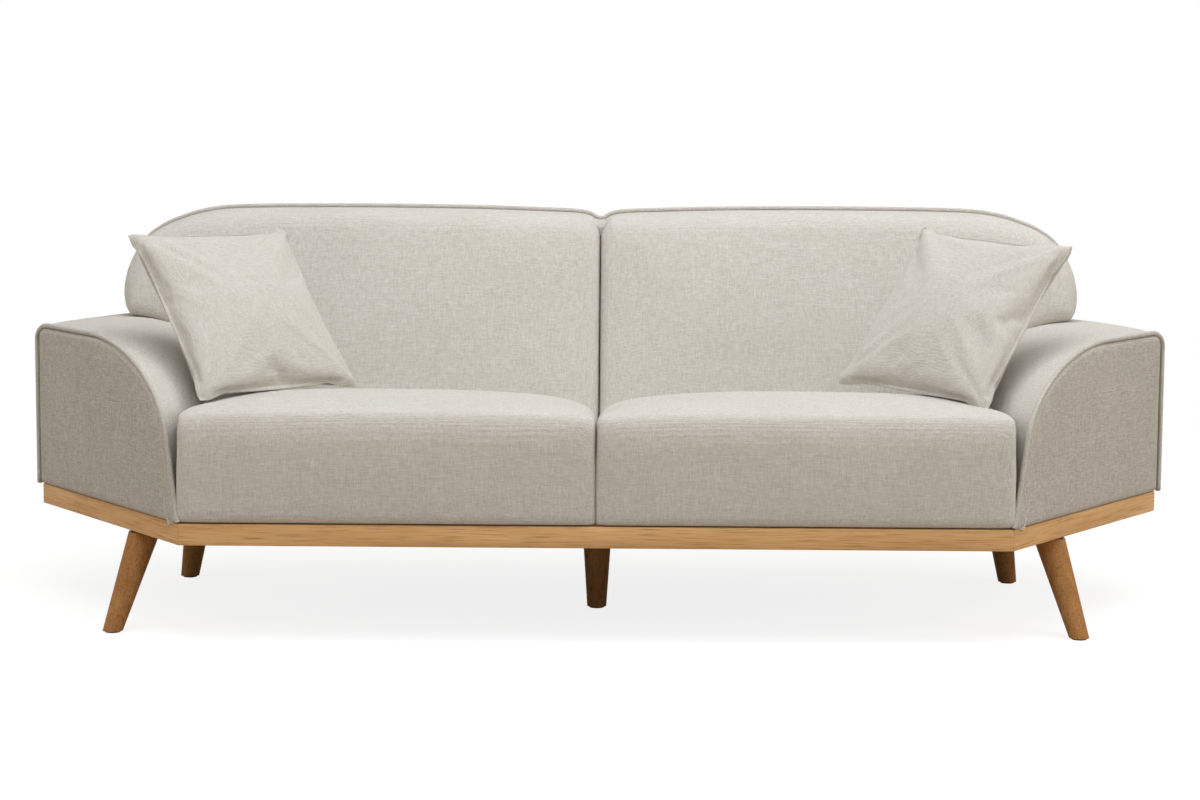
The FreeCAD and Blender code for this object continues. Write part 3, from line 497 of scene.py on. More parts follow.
give(bonded, out, tint(bonded, spots, given["Dark"], given["Light"]),
     ramp(bonded, fuzz, 0.2, 0.8, 0.75, 0.95), dots)
dust_cloth = finish_with("dust_cloth", bonded, {}, depth=0.4, Specular_IOR_Level=0.2)
fit(cover, dust_cloth, "dust_cloth", "dust_cover")

# ---- upholstery cloth ------------------------------------------------------------------------
# A pale stone-coloured linen blend: thick and thin threads both ways, with short darker slubs.
# Each piece of it stores where it lies along its threads, so the weave follows how it was cut.

SLUB, CROSS = 62.0, 640.0
THREAD = 2 * math.pi / 0.0021
linen, given, out = new_group("linen_weave", {
    "Threads": ("Vector", None), "Pale thread": ("Color", (0.66, 0.63, 0.58, 1)),
    "Dark thread": ("Color", (0.45, 0.41, 0.35, 1))})
place = given["Threads"]
slubs = [streaks(linen, place, scale, 2.5) for scale in
         ((SLUB, CROSS, CROSS), (CROSS, SLUB, CROSS), (CROSS, CROSS, SLUB))]
long_threads = [streaks(linen, place, scale, 1.0) for scale in
                ((9, 330, 330), (330, 330, 9))]
heather = streaks(linen, place, (1500, 1500, 1500), 1.0)
worn = streaks(linen, place, (5, 5, 5), 3.0)
mottle = total(linen, *[times(linen, value, 0.8) for value in slubs],
               *[times(linen, value, 0.15) for value in long_threads], times(linen, heather, 0.4))
mottle = ramp(linen, mottle, 1.27, 1.81)
shade = total(linen, times(linen, mottle, 0.82), times(linen, worn, 0.25))
tone = tint(linen, shade, given["Pale thread"], given["Dark thread"])
matt = ramp(linen, mottle, 0.0, 1.0, 0.86, 0.97)
axes = add_node(linen, "SeparateXYZ", {0: place}).outputs
over_under = []
for axis in axes:
    phase = add_node(linen, "Math", {0: axis, 1: THREAD}, operation="MULTIPLY").outputs[0]
    over_under.append(add_node(linen, "Math", {0: phase}, operation="SINE").outputs[0])
weave = times(linen, total(linen, *over_under), 0.28)
give(linen, out, tone, matt, total(linen, weave, times(linen, mottle, -0.7)))


def linen_finish(name, pale, dark):
    return finish_with(name, linen, {"Pale thread": (*pale, 1), "Dark thread": (*dark, 1)},
                       coordinates="threads", depth=0.55, distance=0.0009, Sheen_Weight=0.08,
                       Sheen_Roughness=0.6, Specular_IOR_Level=0.06)


stone_linen = linen_finish("stone_linen", (0.72, 0.695, 0.645), (0.49, 0.46, 0.405))

# ---- seat cushions ---------------------------------------------------------------------------
# Two foam cushions on the sprung frame. Each is crowned, drops over a soft front roll as an
# apron down to the plinth, and is drawn in where the two meet and where they meet the arms.

FOAM_LOW = 0.3079
SEAT_TOP = 0.418
APRON = 0.020
SEAM, ARM_END = 0.0004, 0.7484
SLOPE = math.tan(math.radians(16.4))


def back_face(height):
    """How far back the back's sloping face lies at a height."""
    return REAR - 0.254 + (height - FOAM_LOW) * SLOPE


def evened(piece, voxel, passes=6):
    """Close a shape into an even mesh of small faces and soften its edges."""
    finished_with(piece, "REMESH", mode="VOXEL", voxel_size=voxel, use_smooth_shade=True)
    if passes:
        finished_with(piece, "SMOOTH", factor=0.5, iterations=passes)
    return piece


def seat_cushion(side, word):
    low, high = FOAM_LOW + 0.003, SEAT_TOP
    rear = back_face(SEAT_TOP) - 0.002
    bpy.ops.mesh.primitive_cube_add(
        size=1, location=(side * (SEAM + ARM_END) / 2, (FRONT + rear) / 2, (low + high) / 2),
        scale=(ARM_END - SEAM, rear - FRONT, high - low))
    piece = added("seat_cushion_" + word + "_linen")
    pick(piece, "FACE")
    bpy.ops.mesh.bisect(plane_co=(0, FRONT + APRON, 0), plane_no=(0, 1, 0))
    done(piece)
    pick(piece, "FACE", lambda middle, face: middle.y < FRONT + APRON and middle.z < low + 0.001)
    bpy.ops.mesh.extrude_region_move(TRANSFORM_OT_translate={"value": (0, 0, PLINTH_TOP + 0.001 - low)})
    done(piece)
    rounded(piece, 0.058, 10, lambda middle, edge: middle.y < FRONT + 0.001 and middle.z > high - 0.001)
    rounded(piece, 0.007, 3, lambda middle, edge: abs(edge.verts[0].co.x - edge.verts[1].co.x) < 0.001
            and (middle.z > low + 0.01 or middle.y < FRONT + 0.01))
    evened(piece, 0.0056, 11)
    for v in piece.data.vertices:
        x = abs(v.co.x)
        share = held((x - SEAM) / (ARM_END - SEAM))
        # top: highest behind the front roll, falling to the back, to the seam and to the arm
        behind = v.co.y - FRONT
        rise = math.sin(held(behind / 0.15) * math.pi / 2)
        fall = held((behind - 0.25) / 0.39)
        height = held((v.co.z - low) / (high - low))
        from_seam, from_arm = max(0.0, x - SEAM), max(0.0, ARM_END - x)
        dip = 0.018 * math.exp(-from_seam / 0.020) + 0.032 * math.exp(-from_seam / 0.10)
        dip += 0.014 * math.exp(-from_arm / 0.015) + 0.022 * math.exp(-from_arm / 0.10)
        dip *= 0.2 + 0.8 * held(behind / 0.16) ** 1.5
        v.co.z += height * (0.014 * rise - 0.047 * fall * fall * (3 - 2 * fall) - dip)
        # front: a slight belly, tucked in above the rail and at both ends
        if behind < 0.06:
            near = 1 - behind / 0.06
            up = (v.co.z - PLINTH_TOP) / (SEAT_TOP - PLINTH_TOP)
            belly = 0.004 * math.sin(math.pi * held(up)) * math.sin(math.pi * share) ** 0.5
            tuck = 0.004 * math.exp(-(v.co.z - PLINTH_TOP) / 0.010)
            ends_in = 0.005 * (math.exp(-(x - SEAM) / 0.010) + math.exp(-(ARM_END - x) / 0.010))
            v.co.y += near * (tuck + ends_in - belly)
            # the aprons press against each other and against the arms, most at the foot
            press = 0.0025 * held((0.35 - v.co.z) / 0.05)
            press += 0.005 * math.exp(-(v.co.z - PLINTH_TOP) / 0.012)
            v.co.x += side * press * (math.exp(-from_arm / 0.012) - math.exp(-from_seam / 0.012))
        # small pulls in the cloth beside the seam and soft unevenness in the filling
        beside = math.exp(-(x - SEAM) / 0.035)
        pull = noise.noise(Vector((side * 3.0, v.co.y * 30, v.co.z * 34)))
        wave = noise.noise(Vector((v.co.x * 4.2, v.co.y * 5.0, v.co.z * 4.0 + 7 * side)))
        v.co += Vector((0, -1, 1)).normalized() * (0.0022 * beside * pull + 0.0020 * wave * height)
    finished_with(piece, "SMOOTH", factor=0.5, iterations=3)
    smooth(piece, 60)
    lay_out(piece, "threads")
    fit(piece, stone_linen, "upholstery", "seat_cushion_" + word)


for side, word in ((-1, "left"), (1, "right")):
    seat_cushion(side, word)

# ---- arms ------------------------------------------------------------------------------------
# Hollow arms on boards: foam and cloth wrap the leaning inner face, roll over the top and drop
# down the tapering side. A padded panel closes the angled front, another the rear.

ARM_TOP, ROLL, LEAN = 0.526, 0.186, math.radians(9.5)
ARM_OUT = 1.102
OUTER_ROUND = 0.022
FRONT_TURN = math.atan2(0.501, ARM_OUT - 0.75)
PANEL_FRONT = REAR - 0.017


def arm_section(inset, reach, corner=OUTER_ROUND, steps=(10, 22, 12, 8, 14)):
    """The arm's cross-section as (across, up): inner foot, roll, top, outer corner, outer foot."""
    radius, top = ROLL - inset, ARM_TOP - inset
    inner = 0.75 + inset / math.cos(LEAN)
    roll_z = top - radius
    roll_x = inner + (roll_z - PLINTH_TOP) * math.tan(LEAN) + radius / math.cos(LEAN)
    first = (roll_x - radius * math.cos(LEAN), roll_z + radius * math.sin(LEAN))
    bend = max(0.004, corner - inset)
    points = []
    for n in range(steps[0]):
        t = n / steps[0]
        points.append((inner + t * (first[0] - inner), PLINTH_TOP + t * (first[1] - PLINTH_TOP)))
    for n in range(steps[1]):
        angle = math.pi - LEAN - (math.pi / 2 - LEAN) * n / steps[1]
        points.append((roll_x + radius * math.cos(angle), roll_z + radius * math.sin(angle)))
    for n in range(steps[2]):
        points.append((roll_x + (reach - bend - roll_x) * n / steps[2], top))
    for n in range(steps[3]):
        angle = math.pi / 2 * (1 - n / steps[3])
        points.append((reach - bend + bend * math.cos(angle), top - bend + bend * math.sin(angle)))
    for n in range(steps[4] + 1):
        points.append((reach, top - bend + (PLINTH_TOP - top + bend) * n / steps[4]))
    return points


def front_line(across, inset=0.0):
    """How far back the arm's angled front lies at a distance across, moved in by inset."""
    return FRONT + (across - 0.75) * math.tan(FRONT_TURN) + inset / math.cos(FRONT_TURN)


def side_line(along):
    """How far across the arm's tapering side lies at a place along the depth."""
    return ARM_OUT + (0.975 - ARM_OUT) * (along - (FRONT + 0.501)) / (REAR - FRONT - 0.501)


def flat_shape(name, points):
    """A flat face with the given outline, made from a disc with as many points."""
    bpy.ops.mesh.primitive_circle_add(vertices=len(points), radius=1, fill_type="NGON")
    piece = added(name)
    for v, spot in zip(piece.data.vertices, points):
        v.co = spot
    return piece


def outward(piece):
    """Turn all faces of a closed piece to the outside."""
    pick(piece, "FACE")
    bpy.ops.mesh.remove_doubles(threshold=0.00001)
    bpy.ops.mesh.normals_make_consistent(inside=False)
    return done(piece)


def edge_distance(points):
    """A search tree over an outline, for how far a point lies from its edge."""
    dense = []
    for start, end in zip(points, points[1:] + points[:1]):
        count = max(1, int((Vector(end) - Vector(start)).length / 0.002))
        dense += [Vector(start).lerp(Vector(end), n / count) for n in range(count)]
    found = kdtree.KDTree(len(dense))
    for number, spot in enumerate(dense):
        found.insert((spot.x, spot.y, 0), number)
    found.balance()
    return found


def rolled_edge(distance, radius):
    """How far a soft edge has dropped back at a distance in from the outline."""
    if distance >= radius:
        return 0.0
    return 1 - math.sqrt(max(0.0, 1 - (1 - distance / radius) ** 2))


def end_panel(name, side, node, plane, thickness, inward, turn, belly):
    """A padded panel that closes one end of an arm, its cloth rolled back into the welt."""
    section = arm_section(0.0012, ARM_OUT if inward.y > 0 else side_line(REAR))
    outline = [plane(x, z) for x, z in section]
    piece = flat_shape(name, [(side * p.x, p.y, p.z) for p in outline])
    step = Vector((side * inward.x, inward.y, 0)) * thickness
    pick(piece, "FACE")
    bpy.ops.mesh.extrude_region_move(TRANSFORM_OT_translate={"value": step})
    done(piece)
    outward(piece)
    evened(piece, 0.0042, 2)
    found = edge_distance([(x, z) for x, z in section])
    origin = plane(0.75, 0.3)
    for v in piece.data.vertices:
        local = Vector((side * v.co.x, v.co.y, v.co.z))
        depth = (local - origin).dot(inward)
        flat = local - inward * depth
        distance = found.find((flat.x, flat.z, 0))[2]
        share = 1 - held(depth / thickness)
        fall = 0.0075 * rolled_edge(distance, 0.011) - belly * (1 - math.exp(-distance / 0.06))
        uneven = 0.0012 * noise.noise(local * 7 + Vector((side, 0, 0)))
        local += inward * share * (fall + uneven)
        v.co = Vector((side * local.x, local.y, local.z))
    finished_with(piece, "SMOOTH", factor=0.5, iterations=2)
    smooth(piece, 60)
    lay_out(piece, "threads", side * turn)
    # painted shade: the panel's cloth is a darker copy of the stone linen
    fit(piece, arm_panel_shaded_linen, "upholstery", node)


def arm_cover(side, word):
    """The cloth and foam over the arm, from its angled front to its rear."""
    columns, rows = len(arm_section(0, 1)), 76  # across the section, from front to rear
    bpy.ops.mesh.primitive_grid_add(x_subdivisions=columns - 1, y_subdivisions=rows - 1, size=1)
    piece = added("arm_cover_" + word)
    for v in piece.data.vertices:
        row, column = divmod(v.index, columns)
        t = row / (rows - 1)
        reach, along = ARM_OUT, 0.0
        for attempt in range(8):
            x, z = arm_section(0.0, reach)[column]
            start = front_line(x, 0.0125)
            along = start + (PANEL_FRONT - 0.0005 - start) * t
            reach = side_line(along) if along > FRONT + 0.501 else ARM_OUT
        edge = min(along - start, PANEL_FRONT - along)
        lift = 0.0055 * (1 - math.exp(-edge / 0.05)) - 0.0030 * math.exp(-edge / 0.005)
        lift += 0.0018 * noise.noise(Vector((x * 5, along * 5, z * 5 + 3 * side)))
        centre_x, centre_z = 0.94, 0.33
        away = Vector((x - centre_x, 0, z - centre_z)).normalized()
        spread = 1.0 if z > PLINTH_TOP + 0.03 else (z - PLINTH_TOP) / 0.03
        # above the seat the padding swells inwards, more and more towards the back
        swell = 0.055
        for share in ((along - start) / 0.20, (z - 0.33) / 0.08, (0.99 - x) / 0.18):
            swell *= held(share) ** 2 * (3 - 2 * held(share))
        v.co = Vector((side * (x + away.x * lift * spread - swell), along, z + away.z * lift * spread))
    pick(piece, "FACE")
    bpy.ops.mesh.normals_make_consistent(inside=False)
    done(piece)
    facing = piece.data.polygons[len(piece.data.polygons) // 2 + columns // 2].normal
    if facing.z < 0:
        piece.data.flip_normals()
    finished_with(piece, "SOLIDIFY", thickness=0.018, offset=-1)
    smooth(piece, 60)
    lay_out(piece, "threads")
    fit(piece, stone_linen, "upholstery", "arm_pad_" + word, "arm_outer_panel_" + word)


def tube(name, points, radius, closed=False):
    """A cord-filled tube of cloth along a line."""
    line = bpy.data.curves.new(name, "CURVE")
    line.dimensions = "3D"
    line.bevel_depth = radius
    line.bevel_resolution = 3
    line.use_fill_caps = not closed
    spline = line.splines.new("POLY")
    spline.points.add(len(points) - 1)
    for point, spot in zip(spline.points, points):
        point.co = (*spot, 1)
    spline.use_cyclic_u = closed
    holder = bpy.data.objects.new(name, line)
    scene.collection.objects.link(holder)
    only(holder)
    bpy.ops.object.convert(target="MESH")
    return smooth(outward(added(name)), 60)


# painted shade: the arms' front and rear panels get a darker copy of the stone linen, which stands in
# for the shade on their steep, turned-away faces
arm_panel_shaded_linen = linen_finish("arm_panel_linen_painted_shade", (0.66, 0.61, 0.55), (0.36, 0.32, 0.27))
welt_linen = linen_finish("welt_linen", (0.66, 0.625, 0.57), (0.44, 0.405, 0.35))
WELT = 0.0048
for side, word in ((-1, "left"), (1, "right")):
    arm_cover(side, word)
    across = Vector((math.sin(FRONT_TURN), -math.cos(FRONT_TURN), 0))
    end_panel("arm_front_panel_" + word + "_linen", side, "arm_front_panel_" + word,
              lambda x, z: Vector((x, front_line(x), z)), 0.0125, -across, FRONT_TURN, 0.003)
    end_panel("arm_rear_panel_" + word + "_linen", side, "arm_rear_panel_" + word,
              lambda x, z: Vector((x, REAR, z)), 0.017, Vector((0, -1, 0)), 0.0, 0.001)
    # welt: from the plinth up the inner curve, over the top, down the outer edge, hooked under
    section = arm_section(-0.0030, ARM_OUT + 0.0030, corner=0.028, steps=(14, 34, 16, 12, 20))
    line = [Vector((x, front_line(x, 0.0068), z)) for x, z in section]
    line[0].z += 0.003
    last = line[-1]
    line[-1] = last + Vector((0, 0, 0.006))
    line += [last + Vector((0.001, 0.003, 0.002)), last + Vector((-0.001, 0.010, 0.0015))]
    welt = tube("arm_welt_" + word, [(side * p.x, p.y, p.z) for p in line], WELT)
    lay_out(welt, "threads", side * math.radians(20))
    fit(welt, welt_linen, "piping", "piping_arm_" + word)

# ---- back ------------------------------------------------------------------------------------
# Two foam cushions with sloping faces and rounded shoulders on one padded frame. A band closes
# the frame's edge, a plain panel its rear, and a welt follows the edge, dipping at the middle.

BACK_EDGE = [(0.9605, 0.524), (0.969, 0.534), (0.9775, 0.556), (0.980, 0.581), (0.978, 0.612),
             (0.967, 0.648), (0.947, 0.684), (0.925, 0.7035), (0.899, 0.719), (0.870, 0.731),
             (0.836, 0.742), (0.799, 0.7495), (0.76, 0.7535), (0.70, 0.7555), (0.55, 0.757),
             (0.40, 0.757), (0.25, 0.7555), (0.143, 0.7525), (0.052, 0.749), (0.020, 0.7435),
             (0.004, 0.734)]
BACK_FRONT = REAR - 0.095


def flowing(points, steps=5):
    """A smooth line through points, with more points between them."""
    points = [Vector(p) for p in points]
    ends = [points[0] * 2 - points[1]] + points + [points[-1] * 2 - points[-2]]
    line = []
    for before, start, end, after in zip(ends, ends[1:], ends[2:], ends[3:]):
        for n in range(steps):
            t = n / steps
            line.append(0.5 * (2 * start + (end - before) * t
                               + (2 * before - 5 * start + 4 * end - after) * t * t
                               + (3 * start - before - 3 * end + after) * t ** 3))
    return line + [points[-1]]


def back_edge(inset):
    """The back's outline from the arm over the shoulder to the middle, moved in."""
    line = flowing(BACK_EDGE)
    moved = []
    for number, spot in enumerate(line):
        ahead = line[min(number + 1, len(line) - 1)] - line[max(number - 1, 0)]
        inward = Vector((-ahead.y, ahead.x)).normalized()
        moved.append(spot + inward * inset)
    return moved


def back_cushion(side, word):
    near = SEAM + 0.0002
    lower = [p for p in arm_section(-0.004, ARM_OUT) if FOAM_LOW < p[1] and p[0] < 0.93]
    upper = [p for p in back_edge(0.011) if p.y > ARM_TOP + 0.006 and p.x > near + 0.012]
    outline = [(near, FOAM_LOW), (lower[0][0] - 0.004, FOAM_LOW)] + lower + [(p.x, p.y) for p in upper]
    outline += [(near, 0.70)]
    piece = flat_shape("back_cushion_" + word + "_linen",
                       [(side * x, BACK_FRONT, z) for x, z in outline])
    pick(piece, "FACE")
    bpy.ops.mesh.extrude_region_move(TRANSFORM_OT_translate={"value": (0, -1, 0)})
    done(piece)
    for v in piece.data.vertices:
        if v.co.y < BACK_FRONT - 0.5:
            v.co.y = back_face(v.co.z)
    outward(piece)
    evened(piece, 0.0058, 3)
    found = edge_distance(outline)
    for v in piece.data.vertices:
        x = side * v.co.x
        depth = BACK_FRONT - back_face(v.co.z)
        share = held((BACK_FRONT - v.co.y) / depth)
        distance = found.find((x, v.co.z, 0))[2]
        beside_seam = max(0.0, 1 - (x - near) / 0.05) * held((0.72 - v.co.z) / 0.05)
        radius = 0.034 - 0.018 * beside_seam
        fall = min(0.8 * depth, radius * 0.86) * rolled_edge(distance, radius)
        belly = 0.016 * (1 - math.exp(-distance / 0.075))
        folds = 0.0016 * noise.noise(Vector((x * 55, 0.5 * side, v.co.z * 22)))
        folds *= math.exp(-distance / 0.03)
        uneven = 0.0028 * noise.noise(Vector((v.co.x * 3.6, 2.0 + side, v.co.z * 4.4)))
        v.co.y += share * (fall - belly + uneven * (1 - math.exp(-distance / 0.05)) + folds)
    finished_with(piece, "SMOOTH", factor=0.5, iterations=3)
    smooth(piece, 60)
    lay_out(piece, "threads", 0, math.radians(-16.4))
    fit(piece, stone_linen, "upholstery", "back_cushion_" + word)


def whole_edge(inset):
    """The back's outline from the left arm to the right one, moved in."""
    half = back_edge(inset)
    return [Vector((-p.x, p.y)) for p in half] + half[::-1]


def edge_band():
    """The padded band round the back's edge, between its cushions and its rear panel."""
    # each step of its section: how far back, and how far in from the outline
    section = [(0.0, 0.032), (0.0, 0.012), (0.004, 0.004), (0.012, 0.0), (0.030, -0.0012),
               (0.048, -0.0012), (0.064, 0.0), (0.072, 0.003), (0.0775, 0.009), (0.0775, 0.032)]
    lines = [whole_edge(0.0115 - 0.06 * back + inset) for back, inset in section]
    bpy.ops.mesh.primitive_grid_add(x_subdivisions=len(section) - 1,
                                    y_subdivisions=len(lines[0]) - 1, size=1)
    piece = added("back_edge_band")
    for v in piece.data.vertices:
        row, column = divmod(v.index, len(section))
        spot = lines[column][row]
        v.co = (spot.x, BACK_FRONT + 0.0005 + section[column][0], max(spot.y, ARM_TOP + 0.003))
    return piece


band = edge_band()
finished_with(band, "SUBSURF", levels=1, render_levels=1)
pick(band, "EDGE", lambda middle, edge: False)
mesh = bmesh.from_edit_mesh(band.data)
bmesh.ops.holes_fill(mesh, edges=[edge for edge in mesh.edges if edge.is_boundary], sides=0)
bmesh.update_edit_mesh(band.data)
done(band)
outward(band)
smooth(band, 60)
lay_out(band, "threads")
fit(band, stone_linen, "upholstery", "back_border")
for side, word in ((-1, "left"), (1, "right")):
    back_cushion(side, word)

# rear panel: cloth over thin foam, from the welt down to the plinth between the arms
upper = whole_edge(0.0075)
lower = [p for p in arm_section(-0.0015, ARM_OUT) if PLINTH_TOP + 0.004 < p[1] and p[0] < 0.952]
outline = [(-x, z) for x, z in lower] + [(p.x, max(p.y, ARM_TOP + 0.004)) for p in upper] + lower[::-1]
outline += [(0.7485, PLINTH_TOP + 0.0005), (-0.7485, PLINTH_TOP + 0.0005)]
panel = flat_shape("back_rear_panel_linen", [(x, PANEL_FRONT, z) for x, z in outline])
pick(panel, "FACE")
bpy.ops.mesh.extrude_region_move(TRANSFORM_OT_translate={"value": (0, REAR - PANEL_FRONT, 0)})
done(panel)
outward(panel)
evened(panel, 0.0062, 1)
found = edge_distance(outline)
for v in panel.data.vertices:
    distance = found.find((v.co.x, v.co.z, 0))[2]
    share = held((v.co.y - PANEL_FRONT) / (REAR - PANEL_FRONT))
    v.co.y += share * (0.0015 * noise.noise(v.co * 3.5) - 0.010 * rolled_edge(distance, 0.014))
finished_with(panel, "SMOOTH", factor=0.5, iterations=2)
smooth(panel, 60)
lay_out(panel, "threads")
fit(panel, stone_linen, "upholstery", "back_outer_panel")

edge = [Vector((p.x, PANEL_FRONT - 0.001, p.y)) for p in whole_edge(WELT)]
welt = tube("back_welt", edge, WELT)
lay_out(welt, "threads")
fit(welt, welt_linen, "piping", "piping_back")

# ---- throw pillows ---------------------------------------------------------------------------
# Two loose feather-filled pillows: two squares of the same linen sewn edge to edge and filled,
# so the cloth puckers along the seam and the corners draw out into points.

SQUARE, PILLOW_THICK, CUT = 0.368, 0.116, 1.04
YAW, TILT = math.radians(45), math.radians(37)


def filled(piece, pressure, frames, cap, stiffness=60.0):
    """Fill a sewn shape by simulation, with no point moving further than a cap."""
    start = [v.co.copy() for v in piece.data.vertices]
    only(piece)
    step = piece.modifiers.new("filling", "CLOTH")
    step.settings.quality = 8
    step.settings.mass = 0.15
    step.settings.tension_stiffness = stiffness
    step.settings.compression_stiffness = stiffness
    step.settings.shear_stiffness = stiffness / 2
    step.settings.bending_stiffness = 1.0
    step.settings.tension_damping = step.settings.compression_damping = step.settings.shear_damping = 25
    step.settings.bending_damping = 2
    step.settings.use_pressure = True
    step.settings.uniform_pressure_force = pressure
    step.settings.effector_weights.gravity = 0
    step.collision_settings.use_collision = False
    step.point_cache.frame_start = 1
    step.point_cache.frame_end = frames
    for number in range(1, frames + 1):
        scene.frame_set(number)
    bpy.ops.object.modifier_apply(modifier=step.name)
    scene.frame_set(1)
    for v, before in zip(piece.data.vertices, start):
        move = v.co - before
        if move.length > cap:
            v.co = before + move.normalized() * cap
    return piece


def sewn_square(name):
    """A flat bag of two square panels with a common edge, ready to fill."""
    cells, cut = 64, SQUARE * CUT
    bpy.ops.mesh.primitive_grid_add(x_subdivisions=cells, y_subdivisions=cells, size=cut)
    piece = added(name)
    half = cut / 2
    for v in piece.data.vertices:
        a, b = v.co.x / half, v.co.y / half
        v.co.z = 0.030 * max(0.0, (1 - a * a) * (1 - b * b)) ** 0.5
    copy = piece.copy()
    copy.data = piece.data.copy()
    scene.collection.objects.link(copy)
    for v in copy.data.vertices:
        v.co.z = -v.co.z
    copy.data.flip_normals()
    only(piece)
    copy.select_set(True)
    bpy.ops.object.join()
    pick(piece, "VERT")
    bpy.ops.mesh.remove_doubles(threshold=0.0002)
    bpy.ops.mesh.normals_make_consistent(inside=False)
    done(piece)
    return piece


pillow = sewn_square("throw_pillow_pattern")
rim = [v for v in pillow.data.vertices if max(abs(v.co.x), abs(v.co.y)) > SQUARE * CUT / 2 - 0.0001]
rim = [v.index for v in sorted(rim, key=lambda v: math.atan2(v.co.y, v.co.x))]
filled(pillow, 2.5, 25, 0.09)
finished_with(pillow, "SUBSURF", levels=1, render_levels=1)
throw_linen = linen_finish("throw_pillow_linen", (0.68, 0.655, 0.605), (0.49, 0.46, 0.405))
spans = [[v.co[axis] for v in pillow.data.vertices] for axis in range(3)]
spans = [max(values) - min(values) for values in spans]
wide, thick = max(spans[:2]), spans[2]
for side, word in ((-1, "left"), (1, "right")):
    piece = pillow.copy()
    piece.data = pillow.data.copy()
    piece.name = piece.data.name = "throw_pillow_" + word + "_linen"
    scene.collection.objects.link(piece)
    turned = Matrix.Rotation(math.pi / 2 if side > 0 else 0, 3, "Z")
    plump = PILLOW_THICK / thick
    resize = Matrix.Diagonal((SQUARE / wide, SQUARE / wide, plump))
    stand = Matrix.Rotation(-side * YAW, 3, "Z") @ Matrix.Rotation(math.pi / 2 - TILT, 3, "X")
    stand = stand @ Matrix.Rotation(math.radians(-4 if side > 0 else 0), 3, "Z")
    box_low, box_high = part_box("pillow_" + word)
    centre = (Vector(box_low) + Vector(box_high)) / 2
    for v in piece.data.vertices:
        v.co = resize @ (turned @ v.co)
    lay_out(piece, "threads")
    seam_line = [piece.data.vertices[n].co.copy() for n in rim]
    for v in piece.data.vertices:
        v.co = stand @ v.co + centre
    seam_line = [stand @ spot + centre for spot in seam_line]
    smooth(piece, 60)
    body = "throw_pillow_" + word
    fit(piece, throw_linen, "throw_fabric", "pillow_" + word, body=body)
    seam_cord = tube("throw_pillow_" + word + "_seam", seam_line, 0.0014, closed=True)
    lay_out(seam_cord, "threads")
    fit(seam_cord, welt_linen, "throw_fabric", body=body)
bpy.data.objects.remove(pillow)

# ---- inner frame, springs and fixings --------------------------------------------------------
# Planed softwood bearers and posts, plywood boards, sinuous steel springs in zinc-plated clips,
# zinc-plated hanger bolts, leg plates and screws darkened to near black as painted shade, and jute
# webbing. All of it is covered once the sofa is upholstered.

pine = finish_with("planed_softwood", wood, {
    "Light wood": (0.70, 0.50, 0.28, 1), "Dark wood": (0.56, 0.36, 0.17, 1),
    "Pore": (0.40, 0.23, 0.10, 1), "Pore depth": 0.2}, depth=0.2, Specular_IOR_Level=0.3)
ply = finish_with("birch_plywood", wood, {
    "Light wood": (0.68, 0.52, 0.33, 1), "Dark wood": (0.55, 0.39, 0.22, 1),
    "Pore": (0.42, 0.28, 0.15, 1), "Pore depth": 0.3}, depth=0.2, Specular_IOR_Level=0.3)
metal, given, out = new_group("drawn_metal", {
    "Where": ("Vector", None), "Bright": ("Color", (0.6, 0.6, 0.6, 1)),
    "Dull": ("Color", (0.4, 0.4, 0.4, 1))})
rubbed = streaks(metal, given["Where"], (60, 260, 260), 3.0)
give(metal, out, tint(metal, ramp(metal, rubbed, 0.3, 0.7), given["Bright"], given["Dull"]),
     ramp(metal, rubbed, 0.2, 0.8, 0.28, 0.5), rubbed)
spring_steel = finish_with("spring_steel", metal, {
    "Bright": (0.30, 0.30, 0.31, 1), "Dull": (0.16, 0.16, 0.165, 1)}, depth=0.1, Metallic=1.0)
zinc = finish_with("zinc_plate", metal, {
    "Bright": (0.62, 0.62, 0.60, 1), "Dull": (0.45, 0.45, 0.44, 1)}, depth=0.1, Metallic=1.0)
# painted shade: the leg plates and plate screws are coloured near black, so that where they stand out
# of the leg tops they read as shade
black_zinc = finish_with("black_zinc_plate", metal, {
    "Bright": (0.05, 0.048, 0.045, 1), "Dull": (0.025, 0.024, 0.022, 1)},
    depth=0.1, Metallic=0.2, Specular_IOR_Level=0.3)

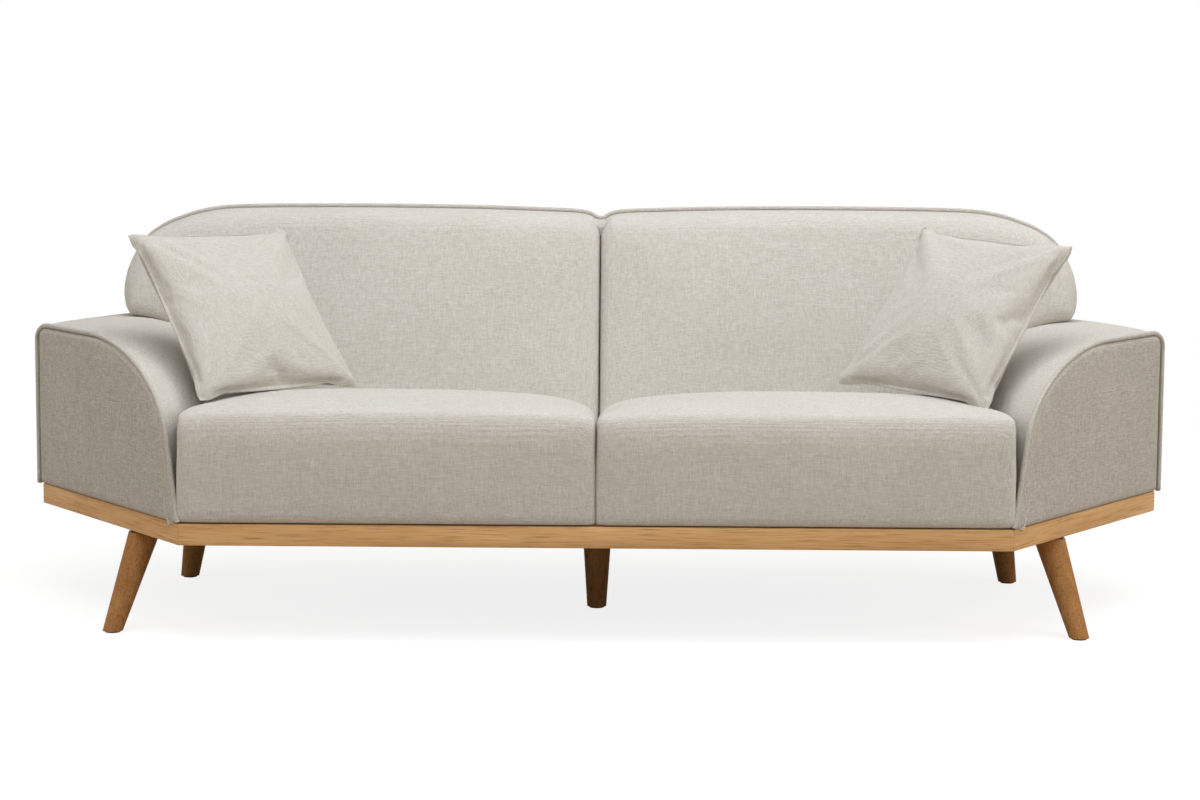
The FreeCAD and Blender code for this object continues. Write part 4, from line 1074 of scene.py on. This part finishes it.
for finish, names in (
        (pine, ["seat_front_bearer", "seat_rear_bearer", "seat_center_bearer",
                "seat_end_bearer_left", "seat_end_bearer_right", "back_post_left",
                "back_post_right", "back_center_posts", "back_top_rail", "back_lower_rail",
                "center_cross_rail", "leg_platforms", "arm_stretchers_left",
                "arm_stretchers_right"]),
        (ply, ["arm_front_board_left", "arm_front_board_right", "arm_rear_board_left",
               "arm_rear_board_right", "back_wing_left", "back_wing_right"]),
        (spring_steel, ["seat_springs"]), (zinc, ["spring_clips", "hanger_bolts"]),
        (black_zinc, ["leg_plates", "plate_screws"])):
    for name in names:
        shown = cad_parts[name]
        if not shown.material_slots:
            shown.data.materials.append(finish)
        for holder in shown.material_slots:
            holder.material = finish

# spring pad: a sheet of pressed felt between the springs and the foam
low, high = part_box("spring_pad")
bpy.ops.mesh.primitive_cube_add(size=1, location=[(a + b) / 2 for a, b in zip(low, high)],
                                scale=[b - a for a, b in zip(low, high)])
pad = added("felt_spring_pad")
rounded(pad, 0.0012, 2)
smooth(pad)
pad_felt = finish_with("pad_felt", felt, {
    "Light fibre": (0.34, 0.32, 0.29, 1), "Dark fibre": (0.2, 0.19, 0.175, 1)},
    depth=0.5, Specular_IOR_Level=0.1)
fit(pad, pad_felt, "pad_felt", "spring_pad")

# webbing: six woven straps stapled from the lower rail to the top rail
strap_weave = finish_with("jute_webbing", linen, {
    "Pale thread": (0.50, 0.38, 0.22, 1), "Dark thread": (0.28, 0.19, 0.10, 1)},
    depth=0.8, distance=0.0012, Specular_IOR_Level=0.15)
low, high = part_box("back_webbing")
STRAP_WIDTH, STRAP_SPACING = 0.050, 0.175
straps = []
for number in (-3, -2, -1, 1, 2, 3):
    bpy.ops.mesh.primitive_cube_add(
        size=1, scale=(STRAP_WIDTH, high[1] - low[1], high[2] - low[2]),
        location=(number * STRAP_SPACING, (low[1] + high[1]) / 2, (low[2] + high[2]) / 2))
    strap = added("strap")
    pick(strap, "EDGE")
    bpy.ops.mesh.subdivide(number_cuts=6)
    done(strap)
    for v in strap.data.vertices:
        v.co.y -= 0.0015 * math.sin(math.pi * (v.co.z - low[2]) / (high[2] - low[2]))
    straps.append(strap)
fit(joined(straps, "jute_straps"), strap_weave, "webbing", "back_webbing")
